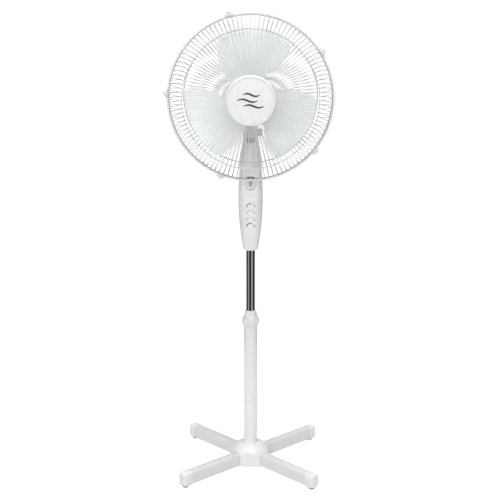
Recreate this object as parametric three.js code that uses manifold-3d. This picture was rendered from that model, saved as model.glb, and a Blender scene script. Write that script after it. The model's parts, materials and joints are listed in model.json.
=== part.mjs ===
// Pedestal fan: a cross base, a telescopic pole, a control column and a head that tilts and swings.
// Millimetres, +Z up. The origin is on the floor, on the pole's axis. The fan blows towards -Y.
import * as THREE from "three";
import { mergeVertices } from "three/addons/utils/BufferGeometryUtils.js";
import Module from "manifold-3d";

const wasm = await Module();
wasm.setup();

// ---------------------------------------------------------------- driving dimensions

const GAP = 0.3; // between two pieces that touch or are fixed to each other
const RUNNING = 0.4; // round a piece that turns or slides
const FINE = 24; // sides of a large round piece
const MEDIUM = 16;
const SMALL = 10;

// Cross base
const LEG_WIDTH = 27;
const LEG_HEIGHT = 36.5;
const LEG_CORNER = 7;
const LEG_WALL = 1.5;
const LEG_UNDERSIDE = 5.5; // above the floor
const LEG_REACH = 246; // from the pole's axis to the end of a bar
const END_CAP_WALL = 1.5;
const END_CAP_NOSE = 8; // past the end of the bar
const END_CAP_LENGTH = 27;
const FOOT_RADIUS = 8;
const FOOT_FACE_RADIUS = 6.5;
const BASE_TURN = -1.9; // degrees: the cross stands slightly askew of the column
const FOOT_SETBACK = 6; // from the end of a bar to a foot's centre
const COVER_FLAT = 51; // from the axis to the cover's front, back and side faces
const COVER_SLANT = 54; // from the axis to the faces that the legs come out of
const COVER_WALL = 2.5;
const COVER_UNDERSIDE = 6.5;
const COVER_HEADROOM = 22; // from the legs' top to the cover's top
const COVER_DOME_RADIUS = 58;
const COVER_DOME_HEIGHT = 40;
const COVER_DOME_DEPTH = 36; // of the part of the dome that shows
const COVER_COLLAR_WALL = 5;
const FLANGE_PLATE = 3;
const FLANGE_SPIGOT = 25;
const FLANGE_SPIGOT_WALL = 2.5;
const FLANGE_MARGIN = 8; // round the pole, and again round the screws
const SCREW_RADIUS = 2;
const SCREW_HEAD_RADIUS = 4.2;
const SCREW_HEAD_HEIGHT = 2.5;
const SCREW_LENGTH = 12;

// Pole
const POLE_RADIUS = 19;
const POLE_WALL = 1.5;
const POLE_TOP = 401;
const TUBE_RADIUS = 12;
const TUBE_WALL = 1.2;
const TUBE_SHOWING = 170.8; // between the lock nut and the column
const TUBE_IN_POLE = 161; // below the pole's top
const TUBE_IN_COLUMN = 46;
const BUSH_HEIGHT = 25;
const SOCKET_BAND_STEP = 1.5; // wider than the pole
const SOCKET_BAND = 5.4;
const SOCKET_DEPTH = 31; // below the pole's top
const COLLET_WALL = 4.1;
const COLLET_HEIGHT = 28;
const COLLET_SLOT = 1.6;
const NUT_WALL = 4;
const NUT_GRIP_DEPTH = 3.2;
const NUT_GRIPS = 10;
const NUT_GRIP_WIDTH = 5;
const NUT_HEIGHT = 20; // of the gripped ring
const NUT_TAPER = 20.2; // of the cone above it
const NUT_TIP_WALL = 3.6;

// Control column
const COLUMN_WALL = 2.8;
const COLUMN_SPLIT_Y = 2; // the plane where the front and rear covers meet
const COLUMN_SQUARENESS = 2.4; // exponent of the section: 2 is an ellipse
// Half width, half depth and height above the column's foot, at the places that give it its shape.
const COLUMN_STATIONS = [
  [19.5, 19.5, 0],
  [24, 24, 24],
  [29, 29.4, 62],
  [32.7, 33.5, 117],
  [32.7, 34, 167],
  [29.8, 31.5, 217],
  [25.3, 27, 254],
  [19.2, 20, 285],
];
// Heights on the column are above its foot.
const PANEL_PROUD = 0.8;
const PANEL_SUNK = 1.5;
const DIAL_RISE = 186;
const DIAL_RADIUS = 25;
const PANEL_TAIL_RISE = 63;
const PANEL_TAIL_RADIUS = 17;
const TIMER_KNOB_RADIUS = 14;
const TIMER_KNOB_HEIGHT = 11;
const TIMER_SHAFT_RADIUS = 3;
const BUTTON_TOP_RISE = 124.4;
const BUTTON_PITCH = 18.1;
const BUTTON_COUNT = 4;
const BUTTON_HALF_WIDTH = 9.2;
const BUTTON_HALF_HEIGHT = 6.8;
const BUTTON_PROUD = 3.6;
const BUTTON_TRAVEL = 2.5;
const BUTTON_REAR_Y = -20;
const SWITCH_DEPTH = 14;
const GLAND_RISE = 34;
const GLAND_RADIUS = 6;

// Tilting neck
const TILT_RISE = 33; // from the column's top to the tilt axis
const EAR_INNER = 11;
const EAR_OUTER = 18;
const EAR_RADIUS = 15; // how far the ears reach from the tilt axis, and stay under the neck's cup
const EAR_BOSS_RADIUS = 9;
// Half width, half depth and height above the column's top of the yoke, which carries on the column's shape.
const YOKE_STATIONS = [
  [18.8, 19, 10],
  [18.3, 18, 18],
  [17, 16.4, 30],
  [13.9, 13.4, 42],
];
const YOKE_FLOOR = 24; // height of the yoke between its ears, above the column's top
const YOKE_SLOT_COUNT = 3; // a grille in the yoke's front
const YOKE_SLOT_PITCH = 7;
const YOKE_SLOT_WIDTH = 5.4;
const YOKE_SLOT_BOTTOM = 5.5; // above the column's top
const YOKE_SLOT_TOP = 21.5;
const YOKE_SLOT_BACK_Y = -9;
const BARREL_RADIUS = 12;
const TILT_BOLT_RADIUS = 3;
const TILT_KNOB_RADIUS = 10;
const TILT_KNOB_LENGTH = 13;
const NECK_CUP_RADIUS = 17;
const NECK_CUP_HEIGHT = 10;
const NECK_CUP_CLEARANCE = 3; // over the ears
const SWIVEL_PIN_RADIUS = 6;
const SWIVEL_PIN_DEPTH = 17;
const SWIVEL_POST_RADIUS = 6.5;

// Motor and gearbox
const MOTOR_RADIUS = 50;
const MOTOR_LENGTH = 64.7; // from its front face to the gearbox
const BELL_DEPTH = 31;
const BELL_WALL = 3;
const BOSS_RADIUS = 25.7;
const BOSS_LENGTH = 12;
const STATOR_BORE = 27;
const STATOR_LENGTH = 28;
const AIR_GAP = 0.6; // between stator and rotor
const WINDING_RADIUS = 40;
const WINDING_LENGTH = 9;
const SHAFT_RADIUS = 4;
const SHAFT_PAST_HUB = 12;
const SHAFT_IN_GEARBOX = 32;
const BEARING_RADIUS = 10;
const BEARING_LENGTH = 8;
const GEARBOX_LENGTH = 38;
const GEARBOX_HALF_WIDTH = 20;
const GEARBOX_DROP = 42; // below the fan's axis
const GEARBOX_RISE = 26;
const MOTOR_COVER_RADIUS = 57;
const MOTOR_COVER_SETBACK = 8.7; // behind the motor's front face
const MOTOR_COVER_ROUND = 34; // depth of its rounded back
const MOTOR_COVER_ROOM = 22; // behind the gearbox
const MOTOR_COVER_WALL = 2.5;
const VENT_COUNT = 5;
const VENT_PITCH = 11;
const VENT_WIDTH = 4;
const SWING_KNOB_SETBACK = 22; // behind the gearbox's front
const SWING_KNOB_RADIUS = 8;
const SWING_STEM_RADIUS = 3.5;
const SWING_KNOB_HEIGHT = 15; // its underside sits clear of the cover
const SWING_KNOB_LIFT = 3;

// Swing linkage under the motor: a crank on the gearbox, and a link to a pin on the neck
const CRANK_SETBACK = 28; // behind the gearbox's front
const CRANK_THROW = 12.6;
const CRANK_RADIUS = 17;
const CRANK_CLEARANCE = 1; // under the motor cover
const CRANK_THICKNESS = 4;
const CRANK_SPINDLE_RADIUS = 5;
const CRANK_PIN_RADIUS = 2.5;
const LINK_CLEARANCE = 2.5; // under the crank
const LINK_OVER_NECK = 3.5;
const LINK_THICKNESS = 4;
const LINK_WIDTH = 6;
const LINK_EYE_BORE = 7.5;
const LINK_EYE_RADIUS = 10.5;
const LINK_PIVOT_RADIUS = 6;
const LINK_PIN_REACH = 22; // from the swing axis to the neck's pin
const LINK_EYE_OFFSET = 3.9; // how far the eye's centre is from that pin at rest
const LINK_PIN_RADIUS = 2.5;
const LINK_ARM_THICKNESS = 8;

// Guards
const RIM_Y = -105; // the plane where the two guards meet
const RIM_RADIUS = 214;
const RIM_WIRE = 6;
const RIM_THICKNESS = 3;
const WIRE_COUNT = 27; // every fourth wire of the real guard's 108
const WIRE_WIDTH = 2.2;
const WIRE_THICKNESS = 2;
const BRACE_INSET = 42; // inside the rim
const BRACE_WIRE = 3;
const REAR_DEPTH = 85;
const REAR_BRACE_DEPTH = 47;
const REAR_BEND_DEPTH = 26;
const FRONT_DEPTH = 71;
const FRONT_BRACE_DEPTH = 61;
const FRONT_BEND_DEPTH = 38;
const BEND_INSET = 15; // inside the rim
const REAR_PLATE_PLAY = 1; // round the motor's boss
const REAR_PLATE_OUTER = 50;
const GUARD_NUT_WALL = 8;
const GUARD_NUT_DEPTH = 8;
const FRONT_PLATE_INNER = 40;
const FRONT_PLATE_OUTER = 58;
const CLIP_COUNT = 5;
const CLIP_FIRST_ANGLE = 32.7;
const CLIP_LENGTH = 22;
const CLIP_WALL = 3;
const CLIP_HOOK_REACH = 3.2; // how far the hook reaches in over the rims
const CLIP_HOOK_THICKNESS = 3.5;
const CLIP_BACK_Y = 7; // behind the rim plane
const BADGE_RADIUS = 63.5;
const BADGE_HEIGHT = 9;
const BADGE_BEVEL = 4;

// Blades
const HUB_RADIUS = 38;
const HUB_LEAD = 31; // from the rim's plane forward to the hub's front
const HUB_DEPTH = 38;
const HUB_WALL = 3;
const HUB_BOSS_RADIUS = 9;
const BLADE_COUNT = 3;
const BLADE_FIRST_ANGLE = 84.5;
const BLADE_CLEARANCE = 47.5; // from a blade's tip to the guard's rim
const BLADE_THICKNESS = 2.4;
const BLADE_LEAD = 7; // from the rim's plane forward to the blade's middle
const BLADE_ROOT_RISE = 36; // along the axis, from one edge of the blade to the other
const BLADE_TIP_RISE = 32;
const BLADE_CAMBER = 7;
// Share of the way from hub to tip, and the angles in degrees of the leading and trailing edge
// from the blade's centre line.
const BLADE_OUTLINE = [
  [0, -26, 58],
  [0.25, -28, 56],
  [0.44, -32.5, 52.5],
  [0.63, -36.5, 47],
  [0.8, -36.5, 41.5],
  [0.91, -35.5, 40],
  [0.97, -33, 37],
  [1, -29, 33],
];
const SPINNER_RADIUS = 14;
const SPINNER_LENGTH = 16;

// ---------------------------------------------------------------- materials

const plastic = (color, roughness = 0.35) =>
  new THREE.MeshStandardMaterial({ color, roughness, metalness: 0 });
const metal = (color, roughness = 0.3) =>
  new THREE.MeshStandardMaterial({ color, roughness, metalness: 1 });
const WHITE = plastic(0xf2f3f4);
const SATIN_WHITE = plastic(0xe9eaeb, 0.45);
const PAINT = plastic(0xeeeeee, 0.3);
const GREY = plastic(0x9a9da0, 0.5);
const BLADE_BLUE = plastic(0xc4dcea, 0.15);
const RUBBER = plastic(0x161616, 0.85);
const CHROME = metal(0xe6e8ea, 0.06);
const STEEL = metal(0xb4b7ba, 0.35);
const COPPER = metal(0xb56a3a, 0.4);

// ---------------------------------------------------------------- shape helpers

const radians = (degrees) => (degrees * Math.PI) / 180;

// A closed geometry as a manifold-3d solid, for cutting and joining.
function solid(geometry) {
  const loose = geometry.index ? geometry.toNonIndexed() : geometry;
  const bare = new THREE.BufferGeometry();
  bare.setAttribute("position", loose.getAttribute("position"));
  const merged = mergeVertices(bare, 1e-4);
  const mesh = new wasm.Mesh({
    numProp: 3,
    vertProperties: merged.attributes.position.array,
    triVerts: new Uint32Array(merged.index.array),
  });
  return new wasm.Manifold(mesh);
}

function geometryOf(made) {
  const mesh = made.getMesh();
  const geometry = new THREE.BufferGeometry();
  geometry.setAttribute("position", new THREE.BufferAttribute(mesh.vertProperties, 3));
  geometry.setIndex(new THREE.BufferAttribute(mesh.triVerts, 1));
  return geometry;
}

const join = (...geometries) =>
  geometryOf(geometries.map(solid).reduce((a, b) => a.add(b)));
const cut = (geometry, ...cutters) =>
  geometryOf(cutters.map(solid).reduce((a, b) => a.subtract(b), solid(geometry)));
const overlap = (a, b) => geometryOf(solid(a).intersect(solid(b)));

function box(x0, x1, y0, y1, z0, z1) {
  const geometry = new THREE.BoxGeometry(x1 - x0, y1 - y0, z1 - z0);
  return geometry.translate((x0 + x1) / 2, (y0 + y1) / 2, (z0 + z1) / 2);
}

// Points a geometry made along +Y along another axis.
function along(axis, geometry) {
  if (axis === "z") geometry.rotateX(Math.PI / 2);
  if (axis === "x") geometry.rotateZ(-Math.PI / 2);
  return geometry;
}

// A turned piece: [radius, height] pairs round an axis. A ring's profile is given open and closed here.
function turned(axis, profile, segments = FINE) {
  const points = profile.map(([r, h]) => new THREE.Vector2(r, h));
  const ring = points.every((p) => p.x > 0);
  if (THREE.ShapeUtils.area(points) < 0) points.reverse();
  if (ring) points.push(points[0].clone());
  return along(axis, new THREE.LatheGeometry(points, segments));
}

const rod = (axis, radius, from, to, segments = MEDIUM) =>
  turned(axis, [[0, from], [radius, from], [radius, to], [0, to]], segments);
const pipe = (axis, outer, inner, from, to, segments = FINE) =>
  turned(axis, [[inner, from], [outer, from], [outer, to], [inner, to]], segments);

function roundedRectangle(width, height, corner, path = new THREE.Shape()) {
  const w = width / 2 - corner;
  const h = height / 2 - corner;
  path.absarc(w, h, corner, 0, Math.PI / 2);
  path.absarc(-w, h, corner, Math.PI / 2, Math.PI);
  path.absarc(-w, -h, corner, Math.PI, 1.5 * Math.PI);
  path.absarc(w, -h, corner, 1.5 * Math.PI, 2 * Math.PI);
  path.closePath();
  return path;
}

// A flat outline extruded upwards, between two heights.
function slab(shape, from, to, curveSegments = 8) {
  const options = { depth: to - from, bevelEnabled: false, curveSegments };
  return new THREE.ExtrudeGeometry(shape, options).translate(0, 0, from);
}

// An outline in X and Z extruded from one Y to another.
function slabAlongY(shape, from, to, curveSegments = 8) {
  return slab(shape, -to, -from, curveSegments).rotateX(Math.PI / 2);
}

// A skin over rings of points, with flat ends. Each ring has the same number of points.
function loft(rings) {
  const count = rings[0].length;
  const positions = rings.flat().flatMap((p) => [p.x, p.y, p.z]);
  const index = [];
  for (let i = 0; i + 1 < rings.length; i++)
    for (let j = 0; j < count; j++) {
      const a = i * count + j;
      const b = i * count + ((j + 1) % count);
      index.push(a, b, b + count, a, b + count, a + count);
    }
  const last = (rings.length - 1) * count;
  for (let j = 1; j + 1 < count; j++) {
    index.push(0, j + 1, j);
    index.push(last, last + j, last + j + 1);
  }
  const geometry = new THREE.BufferGeometry();
  geometry.setAttribute("position", new THREE.Float32BufferAttribute(positions, 3));
  return geometry.setIndex(index);
}

// ---------------------------------------------------------------- scene

const fan = new THREE.Group();

function group(parent, x = 0, y = 0, z = 0) {
  const made = new THREE.Group();
  made.position.set(x, y, z);
  parent.add(made);
  return made;
}

function piece(parent, name, geometry, material) {
  const mesh = new THREE.Mesh(geometry, material);
  mesh.name = name;
  parent.add(mesh);
  return mesh;
}

// ---------------------------------------------------------------- cross base

const LEG_TOP = LEG_UNDERSIDE + LEG_HEIGHT;
const END_CAP_REACH = LEG_REACH + END_CAP_NOSE;
const COVER_TOP = LEG_TOP + COVER_HEADROOM;
const FLANGE_SCREW_REACH = POLE_RADIUS + FLANGE_MARGIN;
const FLANGE_RADIUS = FLANGE_SCREW_REACH + FLANGE_MARGIN;
const LEG_MIDDLE = LEG_UNDERSIDE + LEG_HEIGHT / 2;
const LEG_ANGLES = [45, 135, 225, 315];
const PLATE_BOTTOM = LEG_TOP + GAP;
const PLATE_TOP = PLATE_BOTTOM + FLANGE_PLATE;

// A vertical screw hole through the flange and the leg under it, at a leg's angle.
function flangeHole(angle) {
  const hole = rod("z", SCREW_RADIUS + GAP, LEG_MIDDLE, PLATE_TOP + 1, SMALL);
  return hole.translate(FLANGE_SCREW_REACH, 0, 0).rotateZ(radians(angle));
}

// A tube through the axis, along the leg at the given angle. The other bar crosses it in a notch.
function crossBar(angle, notchFrom, notchTo) {
  const section = roundedRectangle(LEG_WIDTH, LEG_HEIGHT, LEG_CORNER);
  const inside = roundedRectangle(
    LEG_WIDTH - 2 * LEG_WALL, LEG_HEIGHT - 2 * LEG_WALL, LEG_CORNER - LEG_WALL, new THREE.Path());
  section.holes.push(inside);
  const bar = slabAlongY(section, -LEG_REACH, LEG_REACH, 2);
  bar.translate(0, 0, LEG_MIDDLE).rotateZ(Math.PI / 2);
  const half = LEG_WIDTH / 2 + GAP;
  const notch = box(-half, half, -LEG_WIDTH, LEG_WIDTH, notchFrom, notchTo);
  return cut(bar, notch, flangeHole(0), flangeHole(180)).rotateZ(radians(angle));
}

function endCap() {
  const width = LEG_WIDTH + 2 * END_CAP_WALL;
  const height = LEG_HEIGHT + 2 * END_CAP_WALL;
  const round = 7; // rounding of the nose
  const outline = roundedRectangle(width - 2 * round + 4, height - 2 * round + 4, LEG_CORNER - 3);
  const options = {
    depth: END_CAP_LENGTH,
    bevelSize: round - 2,
    bevelThickness: round,
    bevelSegments: 2,
    curveSegments: 2,
  };
  const nose = new THREE.ExtrudeGeometry(outline, options).rotateX(Math.PI / 2).rotateZ(Math.PI / 2);
  nose.translate(END_CAP_REACH - END_CAP_LENGTH - round, 0, LEG_MIDDLE);
  const cavityShape = roundedRectangle(LEG_WIDTH + 2 * GAP, LEG_HEIGHT + 2 * GAP, LEG_CORNER + GAP);
  const cavity = slabAlongY(cavityShape, -LEG_REACH - GAP, 0, 2).translate(0, 0, LEG_MIDDLE);
  cavity.rotateZ(Math.PI / 2);
  const inboard = box(0, END_CAP_REACH - END_CAP_LENGTH, -width, width, 0, 2 * height);
  return cut(nose, cavity, inboard);
}

const FOOT_PROFILE = [
  [0, 0],
  [FOOT_FACE_RADIUS, 0],
  [FOOT_RADIUS, 1.8],
  [FOOT_RADIUS, LEG_UNDERSIDE - END_CAP_WALL - GAP],
  [0, LEG_UNDERSIDE - END_CAP_WALL - GAP],
];

// The cover's outer or inner form: an eight-sided block with a domed top.
function coverForm(inset) {
  const flat = COVER_FLAT - inset;
  const corner = (COVER_SLANT - inset) * Math.SQRT2 - flat;
  const outline = new THREE.Shape();
  outline.setFromPoints([
    [flat, corner], [corner, flat], [-corner, flat], [-flat, corner],
    [-flat, -corner], [-corner, -flat], [corner, -flat], [flat, -corner],
  ].map(([x, y]) => new THREE.Vector2(x, y)));
  const bottom = inset > 0 ? -1 : COVER_UNDERSIDE;
  const top = COVER_TOP - inset;
  const profile = [[0, bottom], [COVER_DOME_RADIUS - inset, bottom]];
  const steps = 5;
  const sweep = Math.asin(COVER_DOME_DEPTH / COVER_DOME_HEIGHT);
  const domeBase = COVER_TOP - COVER_DOME_DEPTH;
  for (let i = 0; i <= steps; i++) {
    const angle = (sweep * i) / steps;
    const radius = COVER_DOME_RADIUS * Math.cos(angle) - inset;
    profile.push([radius, domeBase + COVER_DOME_HEIGHT * Math.sin(angle) - inset]);
  }
  profile.push([0, top]);
  return overlap(slab(outline, bottom, top), turned("z", profile));
}

function baseCover() {
  const channels = [0, 90].map((angle) => {
    const height = LEG_TOP + GAP + LEG_CORNER;
    const shape = roundedRectangle(LEG_WIDTH + 4 * GAP, height + LEG_CORNER, LEG_CORNER);
    const channel = slabAlongY(shape, -2 * COVER_SLANT, 2 * COVER_SLANT, 2);
    channel.translate(0, 0, LEG_TOP + 2 * GAP - (height + LEG_CORNER) / 2);
    return channel.rotateZ(radians(45 + angle));
  });
  const collar = rod("z", POLE_RADIUS + COVER_COLLAR_WALL, COVER_TOP - 6, COVER_TOP + 2, FINE);
  const shell = cut(join(coverForm(0), collar), coverForm(COVER_WALL), ...channels);
  return cut(shell, rod("z", POLE_RADIUS + GAP, 0, COVER_TOP + 10, FINE));
}

const base = group(fan);
base.rotation.z = radians(BASE_TURN);
const lowerNotch = [LEG_MIDDLE - GAP / 2, LEG_TOP + 1];
const upperNotch = [LEG_UNDERSIDE - 1, LEG_MIDDLE + GAP / 2];
piece(base, "cross_bar_lower", crossBar(LEG_ANGLES[0], ...lowerNotch), PAINT);
piece(base, "cross_bar_upper", crossBar(LEG_ANGLES[1], ...upperNotch), PAINT);
LEG_ANGLES.forEach((angle, i) => {
  const leg = group(base);
  leg.rotation.z = radians(angle);
  piece(leg, `end_cap_${i + 1}`, endCap(), WHITE);
  piece(leg, `foot_${i + 1}`, turned("z", FOOT_PROFILE, SMALL), RUBBER).position.x = LEG_REACH - FOOT_SETBACK;
  const head = [[SCREW_RADIUS, PLATE_TOP + GAP], [SCREW_HEAD_RADIUS, PLATE_TOP + GAP]];
  const crown = PLATE_TOP + GAP + SCREW_HEAD_HEIGHT;
  const tip = PLATE_TOP + GAP - SCREW_LENGTH;
  const screw = [[0, tip], [SCREW_RADIUS, tip], ...head, [SCREW_HEAD_RADIUS - 1, crown], [0, crown]];
  const placed = piece(leg, `flange_screw_${i + 1}`, turned("z", screw, SMALL), STEEL);
  placed.position.x = FLANGE_SCREW_REACH;
});
piece(base, "base_cover", baseCover(), WHITE);

const POLE_BORE = POLE_RADIUS - POLE_WALL;
const SPIGOT_BORE = POLE_BORE - GAP - FLANGE_SPIGOT_WALL;
const flange = turned("z", [
  [SPIGOT_BORE, PLATE_BOTTOM],
  [FLANGE_RADIUS, PLATE_BOTTOM],
  [FLANGE_RADIUS, PLATE_TOP],
  [POLE_BORE - GAP, PLATE_TOP],
  [POLE_BORE - GAP, PLATE_TOP + FLANGE_SPIGOT],
  [SPIGOT_BORE, PLATE_TOP + FLANGE_SPIGOT],
]);
piece(base, "pole_flange", cut(flange, ...LEG_ANGLES.map(flangeHole)), STEEL);

// ---------------------------------------------------------------- pole and height lock

const TUBE_BORE = TUBE_RADIUS + RUNNING; // of the pieces that the chrome tube slides in
const SOCKET_BAND_RADIUS = POLE_RADIUS + SOCKET_BAND_STEP;
const SOCKET_TOP = POLE_TOP + GAP + SOCKET_BAND;
const COLLET_RADIUS = TUBE_BORE + COLLET_WALL;
const COLLET_TOP = SOCKET_TOP + COLLET_HEIGHT;
const NUT_BOTTOM = SOCKET_TOP + GAP;
const NUT_SHOULDER = NUT_BOTTOM + NUT_HEIGHT;
const NUT_TOP = NUT_SHOULDER + NUT_TAPER;
const NUT_BORE = COLLET_RADIUS + GAP;
const NUT_RADIUS = NUT_BORE + NUT_WALL;

piece(base, "outer_pole", pipe("z", POLE_RADIUS, POLE_BORE, PLATE_TOP + GAP, POLE_TOP), PAINT);

function poleSocket() {
  const body = turned("z", [
    [TUBE_BORE, POLE_TOP - SOCKET_DEPTH],
    [POLE_BORE - GAP, POLE_TOP - SOCKET_DEPTH],
    [POLE_BORE - GAP, POLE_TOP + GAP],
    [SOCKET_BAND_RADIUS, POLE_TOP + GAP],
    [SOCKET_BAND_RADIUS, SOCKET_TOP],
    [COLLET_RADIUS, SOCKET_TOP],
    [COLLET_RADIUS, COLLET_TOP],
    [TUBE_BORE, COLLET_TOP],
  ]);
  const wide = COLLET_RADIUS + 2;
  const half = COLLET_SLOT / 2;
  const slotFrom = COLLET_TOP - COLLET_HEIGHT / 2;
  const slotX = box(-wide, wide, -half, half, slotFrom, COLLET_TOP + 1);
  const slotY = box(-half, half, -wide, wide, slotFrom, COLLET_TOP + 1);
  return cut(body, slotX, slotY);
}

function lockNut() {
  const body = turned("z", [
    [NUT_BORE, NUT_BOTTOM],
    [NUT_RADIUS, NUT_BOTTOM],
    [NUT_RADIUS, NUT_SHOULDER],
    [NUT_RADIUS - NUT_GRIP_DEPTH, NUT_SHOULDER],
    [TUBE_BORE + NUT_TIP_WALL, NUT_TOP],
    [TUBE_BORE, NUT_TOP],
    [TUBE_BORE, COLLET_TOP + GAP],
    [NUT_BORE, COLLET_TOP + GAP],
  ]);
  const half = NUT_GRIP_WIDTH / 2;
  const reach = NUT_RADIUS + NUT_GRIP_DEPTH;
  const grips = [];
  for (let i = 0; i < NUT_GRIPS; i++) {
    const grip = box(NUT_RADIUS - 1, reach, -half, half, NUT_BOTTOM + 1, NUT_SHOULDER);
    grips.push(grip.rotateZ(radians((360 * i) / NUT_GRIPS)));
  }
  return join(body, ...grips);
}

piece(base, "pole_socket", poleSocket(), WHITE);
piece(group(fan), "lock_nut", lockNut(), WHITE);

const column = group(fan);
const COLUMN_BOTTOM = NUT_TOP + TUBE_SHOWING;
const TUBE_BOTTOM = POLE_TOP - TUBE_IN_POLE;
const TUBE_TOP = COLUMN_BOTTOM + TUBE_IN_COLUMN;
const tube = pipe("z", TUBE_RADIUS, TUBE_RADIUS - TUBE_WALL, TUBE_BOTTOM, TUBE_TOP);
piece(column, "inner_tube", tube, CHROME);
const bush = pipe("z", POLE_BORE - RUNNING, TUBE_RADIUS + GAP, TUBE_BOTTOM, TUBE_BOTTOM + BUSH_HEIGHT);
piece(column, "guide_bush", bush, WHITE);

// ---------------------------------------------------------------- control column

const COLUMN_TOP = COLUMN_BOTTOM + COLUMN_STATIONS[COLUMN_STATIONS.length - 1][2];
const DIAL_Z = COLUMN_BOTTOM + DIAL_RISE;
const PANEL_TAIL_Z = COLUMN_BOTTOM + PANEL_TAIL_RISE;
const GLAND_Z = COLUMN_BOTTOM + GLAND_RISE;
const BUTTON_HEIGHTS = Array.from(
  { length: BUTTON_COUNT }, (_, i) => COLUMN_BOTTOM + BUTTON_TOP_RISE - BUTTON_PITCH * i);

const columnLine = new THREE.CatmullRomCurve3(
  COLUMN_STATIONS.map(([w, d, rise]) => new THREE.Vector3(w, d, COLUMN_BOTTOM + rise)),
  false, "centripetal");

// One section of the column, grown outwards all round.
function columnSection({ x: halfWidth, y: halfDepth }, z, grow) {
  const count = 20;
  const power = 2 / COLUMN_SQUARENESS;
  return Array.from({ length: count }, (_, i) => {
    const angle = (2 * Math.PI * i) / count;
    const c = Math.cos(angle);
    const s = Math.sin(angle);
    const x = Math.sign(c) * Math.abs(c) ** power * (halfWidth + grow);
    const y = Math.sign(s) * Math.abs(s) ** power * (halfDepth + grow);
    return new THREE.Vector3(x, y, z);
  });
}

// The column's form, grown by a distance. A form that is taken out of it stops short of its ends.
function columnForm(grow) {
  const steps = 8;
  const rings = columnLine.getPoints(steps).map((p, i) => {
    const shift = i === 0 ? -Math.min(grow, 0) : i === steps ? Math.min(grow, 0) : 0;
    return columnSection(p, p.z + shift, grow);
  });
  return loft(rings);
}

// The front surface's Y on the middle line, at a height.
function columnFront(z) {
  let low = 0;
  let high = 1;
  for (let i = 0; i < 30; i++) {
    const middle = (low + high) / 2;
    if (columnLine.getPoint(middle).z < z) low = middle;
    else high = middle;
  }
  return -columnLine.getPoint(low).y;
}

// The control panel's outline in X and Z: a large round head that runs down to a small round tail.
function panelOutline(grow) {
  const head = DIAL_RADIUS + grow;
  const tail = PANEL_TAIL_RADIUS + grow;
  const lean = Math.asin((head - tail) / (DIAL_Z - PANEL_TAIL_Z));
  const outline = new THREE.Shape();
  outline.absarc(0, DIAL_Z, head, -lean, Math.PI + lean);
  outline.absarc(0, PANEL_TAIL_Z, tail, Math.PI + lean, 2 * Math.PI - lean);
  return outline.closePath();
}

function buttonShape(z, grow) {
  const shape = new THREE.Shape();
  shape.absellipse(0, z, BUTTON_HALF_WIDTH + grow, BUTTON_HALF_HEIGHT + grow, 0, 2 * Math.PI);
  return shape;
}

const controlHoles = [
  ...BUTTON_HEIGHTS.map((z) => slabAlongY(buttonShape(z, RUNNING), -60, BUTTON_REAR_Y, 4)),
  rod("y", TIMER_SHAFT_RADIUS + RUNNING, -60, BUTTON_REAR_Y, SMALL).translate(0, 0, DIAL_Z),
];

const WIDE = 200; // past every side of the column
const seam = GAP / 2;
const shell = cut(
  columnForm(0),
  columnForm(-COLUMN_WALL),
  rod("z", TUBE_RADIUS + GAP, COLUMN_BOTTOM - 10, COLUMN_BOTTOM + 20, FINE),
);
const frontHalf = box(-WIDE, WIDE, -WIDE, COLUMN_SPLIT_Y - seam, 0, 2 * COLUMN_TOP);
const rearHalf = box(-WIDE, WIDE, COLUMN_SPLIT_Y + seam, WIDE, 0, 2 * COLUMN_TOP);
const panelBed = cut(
  overlap(slabAlongY(panelOutline(GAP), -60, -5), columnForm(5)),
  columnForm(-PANEL_SUNK - GAP),
);
piece(column, "column_front_cover", cut(overlap(shell, frontHalf), panelBed, ...controlHoles), SATIN_WHITE);

const panelBlank = overlap(slabAlongY(panelOutline(0), -60, -5), columnForm(PANEL_PROUD));
piece(column, "control_panel", cut(panelBlank, columnForm(-PANEL_SUNK), ...controlHoles), WHITE);

const glandWay = rod("y", GLAND_RADIUS + GAP, 5, 60, SMALL).translate(0, 0, GLAND_Z);
piece(column, "column_rear_cover", cut(overlap(shell, rearHalf), glandWay), SATIN_WHITE);

// A ribbed sleeve with a flange inside and out, that the mains lead would come in through.
const GLAND_FLANGE_RADIUS = GLAND_RADIUS + 2;
const glandSeat = GAP - columnFront(GLAND_Z + GLAND_FLANGE_RADIUS);
const gland = turned("y", [
  [GLAND_RADIUS - 2.5, glandSeat - 2 * COLUMN_WALL],
  [GLAND_RADIUS, glandSeat - 2 * COLUMN_WALL],
  [GLAND_RADIUS, glandSeat],
  [GLAND_FLANGE_RADIUS, glandSeat],
  [GLAND_FLANGE_RADIUS, glandSeat + 2],
  [GLAND_RADIUS - 1, glandSeat + 8],
  [GLAND_RADIUS - 2.5, glandSeat + 8],
], SMALL);
piece(column, "cable_gland", gland, RUBBER).position.z = GLAND_Z;

const switchFront = BUTTON_REAR_Y + BUTTON_TRAVEL + 0.5;
const switchTop = BUTTON_HEIGHTS[0] + BUTTON_HALF_HEIGHT;
const switchBottom = BUTTON_HEIGHTS[BUTTON_COUNT - 1] - BUTTON_HALF_HEIGHT;
const switchBody = box(-11, 11, switchFront, switchFront + SWITCH_DEPTH, switchBottom, switchTop);
piece(column, "switch_block", switchBody, GREY);

const timerFront = BUTTON_REAR_Y + RUNNING;
const timerBody = box(-17, 17, timerFront, timerFront + 24, DIAL_Z - 16, DIAL_Z + 16);
const timerWay = rod("y", TIMER_SHAFT_RADIUS + RUNNING, -30, timerFront + 12, SMALL).translate(0, 0, DIAL_Z);
piece(column, "timer_body", cut(timerBody, timerWay), GREY);

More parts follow.
